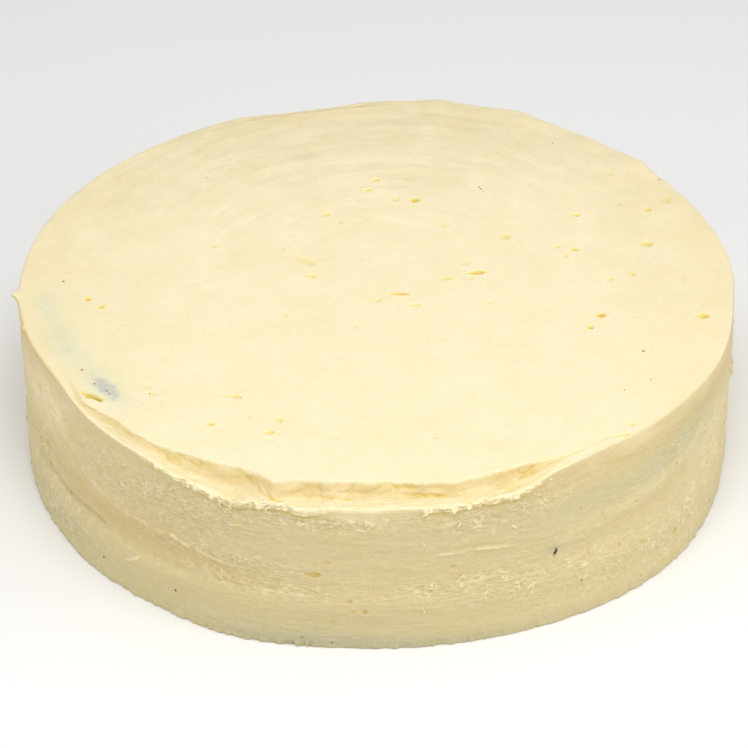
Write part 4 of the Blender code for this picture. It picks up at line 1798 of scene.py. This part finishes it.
def frosting(colours):
    """Cream cheese frosting: pale, soft, knife-streaked, grey where thin, warmer painted shade in hollows,
    painted highlights.
    """
    name = "cream_cheese_frosting"
    if name in bpy.data.materials:
        return bpy.data.materials[name]
    material, board, shader = new_recipe(name)
    place = board.node("ShaderNodeTexCoord", output="Object")
    x, y, z = board.split(place)
    from_middle = board.vector("LENGTH", board.joined(x, y, 0.0), output="Value")
    # The side mark blends in the side's colour, which carries painted shade
    side = board.mark("side")

    # 1 at the back of the top, where its streaks run round the middle, and 0 at the front
    back = (12 * y + 0.1).kept_within()

    def on_both(length, width, detail, seed):
        """Streaks: round the middle at the back of the top, short at its front, and level on the side."""
        round_it = board.streaks(place, from_middle, length, 1.5 * width, detail, seed)
        short = board.cloud(board.joined(0.5 * x, y, z), 0.8 / width, detail, 0.6, seed)
        top = short + (round_it - short) * back
        return top + (board.streaks(place, z, length, width, detail, seed) - top) * side

    long_streaks = on_both(7.0 * MM, 0.8 * MM, 3.0, 3.0)
    short_streaks = on_both(1.6 * MM, 0.5 * MM, 2.0, 4.0)
    rough = board.mark("rough")
    ripple = board.streaks(place, z, 2.4 * MM, 0.9 * MM, 2.0, 9.0)
    mottle = board.cloud(place, 70.0, 3.0, 0.55, 1.0)
    spots = board.cloud(place, 330.0, 3.0, 0.6, 7.0)
    grain = board.cloud(place, 1900.0, 2.0, 0.6, 2.0)
    # Pale flecks: painted highlights
    flecks = (on_both(2.2 * MM, 0.9 * MM, 2.0, 8.0) * 10 - 5.6).kept_within()

    # Parts of the cake: the outside of the top and its far back, which get painted shade, and the foot of
    # the side, darker towards the bottom
    outer_shade_share = (20 * from_middle - 1.4).kept_within() * (12 * y + 1.0).kept_within()
    far_back_shade = (16 * y - 0.72).kept_within()
    foot = (1.35 - 90 * z).kept_within()
    # Painted shade towards the top's sides and its back
    colour = board.tinted(colours.top, colours.rim_shade, outer_shade_share)
    # The side's colour, darkened with painted shade
    colour = board.blended(colour, colours.side, side)
    # Bands of the side, and painted shade on the ledge's step and rounded edge
    colour = board.tinted(colour, colours.warm, board.mark("warm"))
    thin = (board.mark("thin") * (0.1 + 0.5 * side + (1.8 - side) * spots)).kept_within()
    colour = board.tinted(colour, colours.damp, (thin * (1.6 - 0.6 * side)).kept_within())
    colour = board.tinted(colour, colours.thin, (2 * thin - 1).kept_within() * (1 - 0.7 * side))
    # Painted shade in hollows: bubbles, cracks, creases, net cells and under the lip
    hollow = board.mark("hollow")
    colour = board.tinted(colour, colours.hollow, (2 * hollow).kept_within())
    colour = board.tinted(colour, colours.deep, (2 * hollow - 1).kept_within())
    # Tone along the streaks, grain and mottle: partly the frosting's own, partly painted shading of its
    # streaks
    uneven = 0.14 * long_streaks + 0.14 * short_streaks + 0.12 * grain + 0.06 * mottle - 0.23
    uneven = uneven * (0.55 + 0.35 * side)
    shade = 1 + uneven + (0.05 * (spots - 0.5) + (0.05 + 0.15 * back) * (mottle - 0.5)) * (1 - side)
    # Painted shading of the ripples, painted shade at the far back of the top, and the foot darker towards
    # the bottom
    shade = shade + 0.46 * (ripple - 0.5) * rough * side - 0.05 * far_back_shade * (1 - side) - 0.06 * foot * side
    blue_shade = shade + uneven + 0.20 * (spots - 0.5) + 0.16 * (mottle - 0.5)
    colour = board.shaded(colour, shade, blue_shade)
    # Painted highlights on crests and flecks
    crest = (flecks * (0.10 + 0.24 * rough) + board.mark("crest")).kept_within(0.0, 0.9)
    colour = board.blended(colour, colours.crest, crest)

    normal = board.bump(long_streaks, 0.25 * MM, 0.8)
    normal = board.bump(short_streaks, 0.18 * MM, 0.8, normal)
    normal = board.bump(ripple, 1.10 * MM, rough * side, normal)
    normal = board.bump(grain, 0.14 * MM, 0.7, normal)
    roughness = 0.42 + 0.18 * mottle + 0.08 * long_streaks
    board.feed(shader, {
        "Base Color": colour,
        "Roughness": roughness,
        "Normal": normal,
        "Specular IOR Level": 0.32,
    })
    return material


def crumb_material(colours):
    """Sponge crumbs: dark brown to orange, with a dry surface."""
    material, board, shader = new_recipe("sponge_crumb")
    place = board.node("ShaderNodeTexCoord", output="Object")
    speckle = board.cloud(place, 2600.0, 2.0, 0.6, 4.0)
    colour = board.blended(colours.dark_crumb, colours.orange_crumb, board.mark("tint"))
    colour = board.shaded(colour, 0.6 + 0.9 * speckle)
    normal = board.bump(speckle, 0.2 * MM, 0.8)
    board.feed(shader, {"Base Color": colour, "Normal": normal, "Roughness": 0.75})
    return material


def floor_material(colour):
    """Plain matt paper."""
    material, board, shader = new_recipe("pale_floor")
    place = board.node("ShaderNodeTexCoord", output="Object")
    tone = board.shaded(tuple(colour), 0.99 + 0.02 * board.cloud(place, 3.0, 2.0, 0.5, 6.0))
    board.feed(shader, {"Base Color": tone, "Roughness": 0.9, "Specular IOR Level": 0.1})
    return material


# ------------------------------------------------------------------------------------------------- pieces


def stand_for_cake(piece):
    """Says where a piece belongs: it moves with the cake and replaces its plain solid."""
    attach(piece, BODY)
    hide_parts(NODE)


def hidden_collection(name, make, count, seed):
    """A collection of small shapes to be placed, out of sight."""
    group = bpy.data.collections.new(f"{name}_shapes")
    for i in range(count):
        thing = make(f"{name}_{i}", seed + i)
        bpy.context.scene.collection.objects.unlink(thing)
        group.objects.link(thing)
    return group


def throw_away(group):
    """Removes a collection of shapes once they have been placed."""
    for thing in list(group.objects):
        bpy.data.objects.remove(thing)
    bpy.data.collections.remove(group)


def found_piece(name):
    piece = bpy.data.objects.get(name)
    if piece is None:
        raise RuntimeError(f"{name} isn't there yet: make it first")
    return piece


def keep_mark(mesh, name, values):
    """Writes one number for each point of a mesh."""
    mesh.attributes.new(name, "FLOAT", "POINT").data.foreach_set("value", values)


def lay_coat(context, shape):
    """Makes a piece of frosting by a rule of its shape, and gives it its finish."""
    coat = shape(Form(context.scene.cake_sizes))
    coat.data.materials.append(frosting(context.scene.cake_colours))
    stand_for_cake(coat)


class CAKE_OT_top_frosting(bpy.types.Operator):
    """Spread the flat top, with its knife strokes and opened bubbles"""

    bl_idname = "carrot_cake.top_frosting"
    bl_label = "Top Frosting"
    bl_options = {"REGISTER", "UNDO"}

    def execute(self, context):
        lay_coat(context, shape_flat_top)
        return {"FINISHED"}


class CAKE_OT_edge_frosting(bpy.types.Operator):
    """Spread the edge of the top, with the ledge, its folds and its torn lip"""

    bl_idname = "carrot_cake.edge_frosting"
    bl_label = "Edge Frosting"
    bl_options = {"REGISTER", "UNDO"}

    def execute(self, context):
        lay_coat(context, shape_edge)
        return {"FINISHED"}


class CAKE_OT_side_frosting(bpy.types.Operator):
    """Spread the side in two pieces: the scraped side, and the foot with the underside"""

    bl_idname = "carrot_cake.side_frosting"
    bl_label = "Side Frosting"
    bl_options = {"REGISTER", "UNDO"}

    STREAK_LENGTH = 10 * MM
    STREAK_WIDTH = 1.3 * MM
    STIPPLE_SIZE = 1.4 * MM
    NET_SIZE = 2.4 * MM

    def execute(self, context):
        sizes = context.scene.cake_sizes
        form = Form(sizes)
        values = {
            "Streak Length": self.STREAK_LENGTH,
            "Streak Width": self.STREAK_WIDTH,
            "Streak Depth": sizes.side_streak_depth,
            "Stipple Size": self.STIPPLE_SIZE,
            "Stipple Depth": sizes.stipple_depth,
            "Net Size": self.NET_SIZE,
            "Net Height": sizes.net_height,
            "Seed": float(sizes.seed),
            "Material": frosting(context.scene.cake_colours),
        }
        for shape in (shape_side, shape_foot):
            coat = shape(form)
            run_tree(coat, relief_tree(), values)
            stand_for_cake(coat)
        return {"FINISHED"}


class CAKE_OT_torn_flakes(bpy.types.Operator):
    """Scatter the torn flakes of frosting over the torn patches of the side and along the lip"""

    bl_idname = "carrot_cake.torn_flakes"
    bl_label = "Torn Flakes"
    bl_options = {"REGISTER", "UNDO"}

    SHAPES = 8
    CLUSTER_SIZE = 5 * MM
    PER_SQUARE_DECIMETRE = 100.0
    # Piece, the piece it lies on, how much closer together than on the side, smallest, largest, painted
    # highlight
    SCATTERS = (
        ("side_flakes", "side_frosting", 1.0, 0.9 * MM, 2.4 * MM, 0.35),
        ("foot_flakes", "foot_frosting", 1.0, 0.9 * MM, 2.4 * MM, 0.22),
        ("lip_flakes", "edge_frosting", 5.0, 0.9 * MM, 2.2 * MM, 0.95),
    )

    def execute(self, context):
        sizes = context.scene.cake_sizes
        group = hidden_collection("flake", torn_flake, self.SHAPES, sizes.seed)
        for name, below, closeness, smallest, largest, highlight in self.SCATTERS:
            flakes = new_object(name, found_piece(below).data.copy())
            values = {
                "Flakes": group,
                "Count": sizes.flake_count * self.PER_SQUARE_DECIMETRE * closeness,
                "Cluster Size": self.CLUSTER_SIZE,
                "Smallest": smallest,
                "Largest": largest,
                "Brightness": highlight,
                "Seed": sizes.seed,
                "Material": frosting(context.scene.cake_colours),
            }
            run_tree(flakes, flake_tree(), values)
            stand_for_cake(flakes)
        throw_away(group)
        return {"FINISHED"}


class CAKE_OT_sponge_crumbs(bpy.types.Operator):
    """Press the loose crumbs of sponge into the frosting"""

    bl_idname = "carrot_cake.sponge_crumbs"
    bl_label = "Sponge Crumbs"
    bl_options = {"REGISTER", "UNDO"}

    SHAPES = 4

    def execute(self, context):
        sizes = context.scene.cake_sizes
        form = Form(sizes)
        crumbs = []
        for x, y, size, tint in TOP_CRUMBS:
            place, _ = form.top_spot(x * MM, y * MM)
            crumbs.append((place - Vector((0.0, 0.0, CRUMB_SINK * size * MM)), size * MM, tint))
        for azimuth, height, size, tint in SIDE_CRUMBS:
            place, _ = form.wall_spot(azimuth, height * MM, form.height)
            crumbs.append((place - direction(azimuth) * CRUMB_SINK * size * MM, size * MM, tint))
        data = bpy.data.meshes.new("sponge_crumbs")
        data.from_pydata([place + form.shift for place, _, _ in crumbs], [], [])
        keep_mark(data, "size", [size for _, size, _ in crumbs])
        keep_mark(data, "tint", [tint for _, _, tint in crumbs])
        thing = new_object("sponge_crumbs", data)
        group = hidden_collection("crumb", bumpy_ball, self.SHAPES, sizes.seed)
        values = {
            "Crumbs": group,
            "Seed": sizes.seed,
            "Material": crumb_material(context.scene.cake_colours),
        }
        run_tree(thing, crumb_tree(), values)
        throw_away(group)
        stand_for_cake(thing)
        return {"FINISHED"}


class CAKE_OT_stage(bpy.types.Operator):
    """Set the floor, the soft lights and the camera"""

    bl_idname = "carrot_cake.stage"
    bl_label = "Stage"
    bl_options = {"REGISTER", "UNDO"}

    FLOOR_HALF = 3.0
    FLOOR_GAP = 0.2 * MM
    # Name of each light, its place and its width in metres
    LIGHTS = (
        ("key_light", (0.04, -0.36, 0.85), 0.6),
        ("left_light", (-1.1, -0.5, 0.50), 0.9),
        ("right_light", (1.1, -0.5, 0.50), 0.9),
    )

    def execute(self, context):
        settings = context.scene.cake_stage
        self.lay_floor(settings)
        powers = (settings.key_power, settings.left_power, settings.right_power)
        for light, power in zip(self.LIGHTS, powers):
            self.hang_light(*light, power)
        world = bpy.data.worlds.new("studio")
        world.use_nodes = True
        backdrop = world.node_tree.nodes["Background"]
        backdrop.inputs["Color"].default_value = (1.0, 1.0, 1.0, 1.0)
        backdrop.inputs["Strength"].default_value = settings.surroundings
        context.scene.world = world
        self.place_camera(context)
        context.scene.view_settings.view_transform = "Standard"
        return {"FINISHED"}

    def lay_floor(self, settings):
        half = self.FLOOR_HALF
        level = cad_box[0].z - self.FLOOR_GAP
        corners = [(-half, -half, level), (half, -half, level), (half, half, level), (-half, half, level)]
        data = bpy.data.meshes.new("floor")
        data.from_pydata(corners, [], [(0, 1, 2, 3)])
        data.materials.append(floor_material(settings.floor))
        new_object("floor", data)

    def hang_light(self, name, place, size, power):
        lamp = bpy.data.lights.new(name, "AREA")
        lamp.shape = "DISK"
        lamp.size = size
        lamp.energy = power
        light = new_object(name, lamp)
        light.location = place
        light.rotation_euler = (-Vector(place)).to_track_quat("-Z", "Y").to_euler()

    def place_camera(self, context):
        elevation = math.radians(CAMERA_ELEVATION)
        back = Vector((0.0, -math.cos(elevation), math.sin(elevation)))
        right = Vector((1.0, 0.0, 0.0))
        turn = Matrix((right, back.cross(right), back)).transposed().to_4x4()
        aim = Vector((*Form(context.scene.cake_sizes).shift.xy, CAMERA_AIM_HEIGHT))
        data = bpy.data.cameras.new("camera")
        data.sensor_width = SENSOR_WIDTH
        data.lens = FOCAL_LENGTH * SENSOR_WIDTH / PICTURE_SIDE
        data.shift_x = (PICTURE_SIDE / 2 - OPTICAL_CENTRE[0]) / PICTURE_SIDE
        data.shift_y = (OPTICAL_CENTRE[1] - PICTURE_SIDE / 2) / PICTURE_SIDE
        camera = new_object("camera", data)
        roll = Matrix.Rotation(math.radians(CAMERA_ROLL), 4, "Z")
        camera.matrix_world = Matrix.Translation(aim + back * CAMERA_DISTANCE) @ turn @ roll
        context.scene.camera = camera


class CAKE_PT_panel(bpy.types.Panel):
    """Sizes, colours and the steps of making the cake"""

    bl_idname = "CAKE_PT_panel"
    bl_label = "Carrot Cake"
    bl_space_type = "VIEW_3D"
    bl_region_type = "UI"
    bl_category = "Carrot Cake"

    def draw(self, context):
        for settings in (context.scene.cake_sizes, context.scene.cake_colours, context.scene.cake_stage):
            box = self.layout.box()
            for name in settings.__annotations__:
                box.prop(settings, name)
        for step in STEPS:
            self.layout.operator(step.bl_idname)


STEPS = (
    CAKE_OT_side_frosting,
    CAKE_OT_edge_frosting,
    CAKE_OT_top_frosting,
    CAKE_OT_torn_flakes,
    CAKE_OT_sponge_crumbs,
    CAKE_OT_stage,
)
CLASSES = (CakeSizes, CakeColours, StageSettings, *STEPS, CAKE_PT_panel)


def register():
    for kind in CLASSES:
        bpy.utils.register_class(kind)
    bpy.types.Scene.cake_sizes = PointerProperty(type=CakeSizes)
    bpy.types.Scene.cake_colours = PointerProperty(type=CakeColours)
    bpy.types.Scene.cake_stage = PointerProperty(type=StageSettings)


def unregister():
    del bpy.types.Scene.cake_stage
    del bpy.types.Scene.cake_colours
    del bpy.types.Scene.cake_sizes
    for kind in reversed(CLASSES):
        bpy.utils.unregister_class(kind)


def main():
    register()
    bpy.ops.carrot_cake.side_frosting()
    bpy.ops.carrot_cake.edge_frosting()
    bpy.ops.carrot_cake.top_frosting()
    bpy.ops.carrot_cake.torn_flakes()
    bpy.ops.carrot_cake.sponge_crumbs()
    bpy.ops.carrot_cake.stage()


if __name__ == "__main__":
    main()
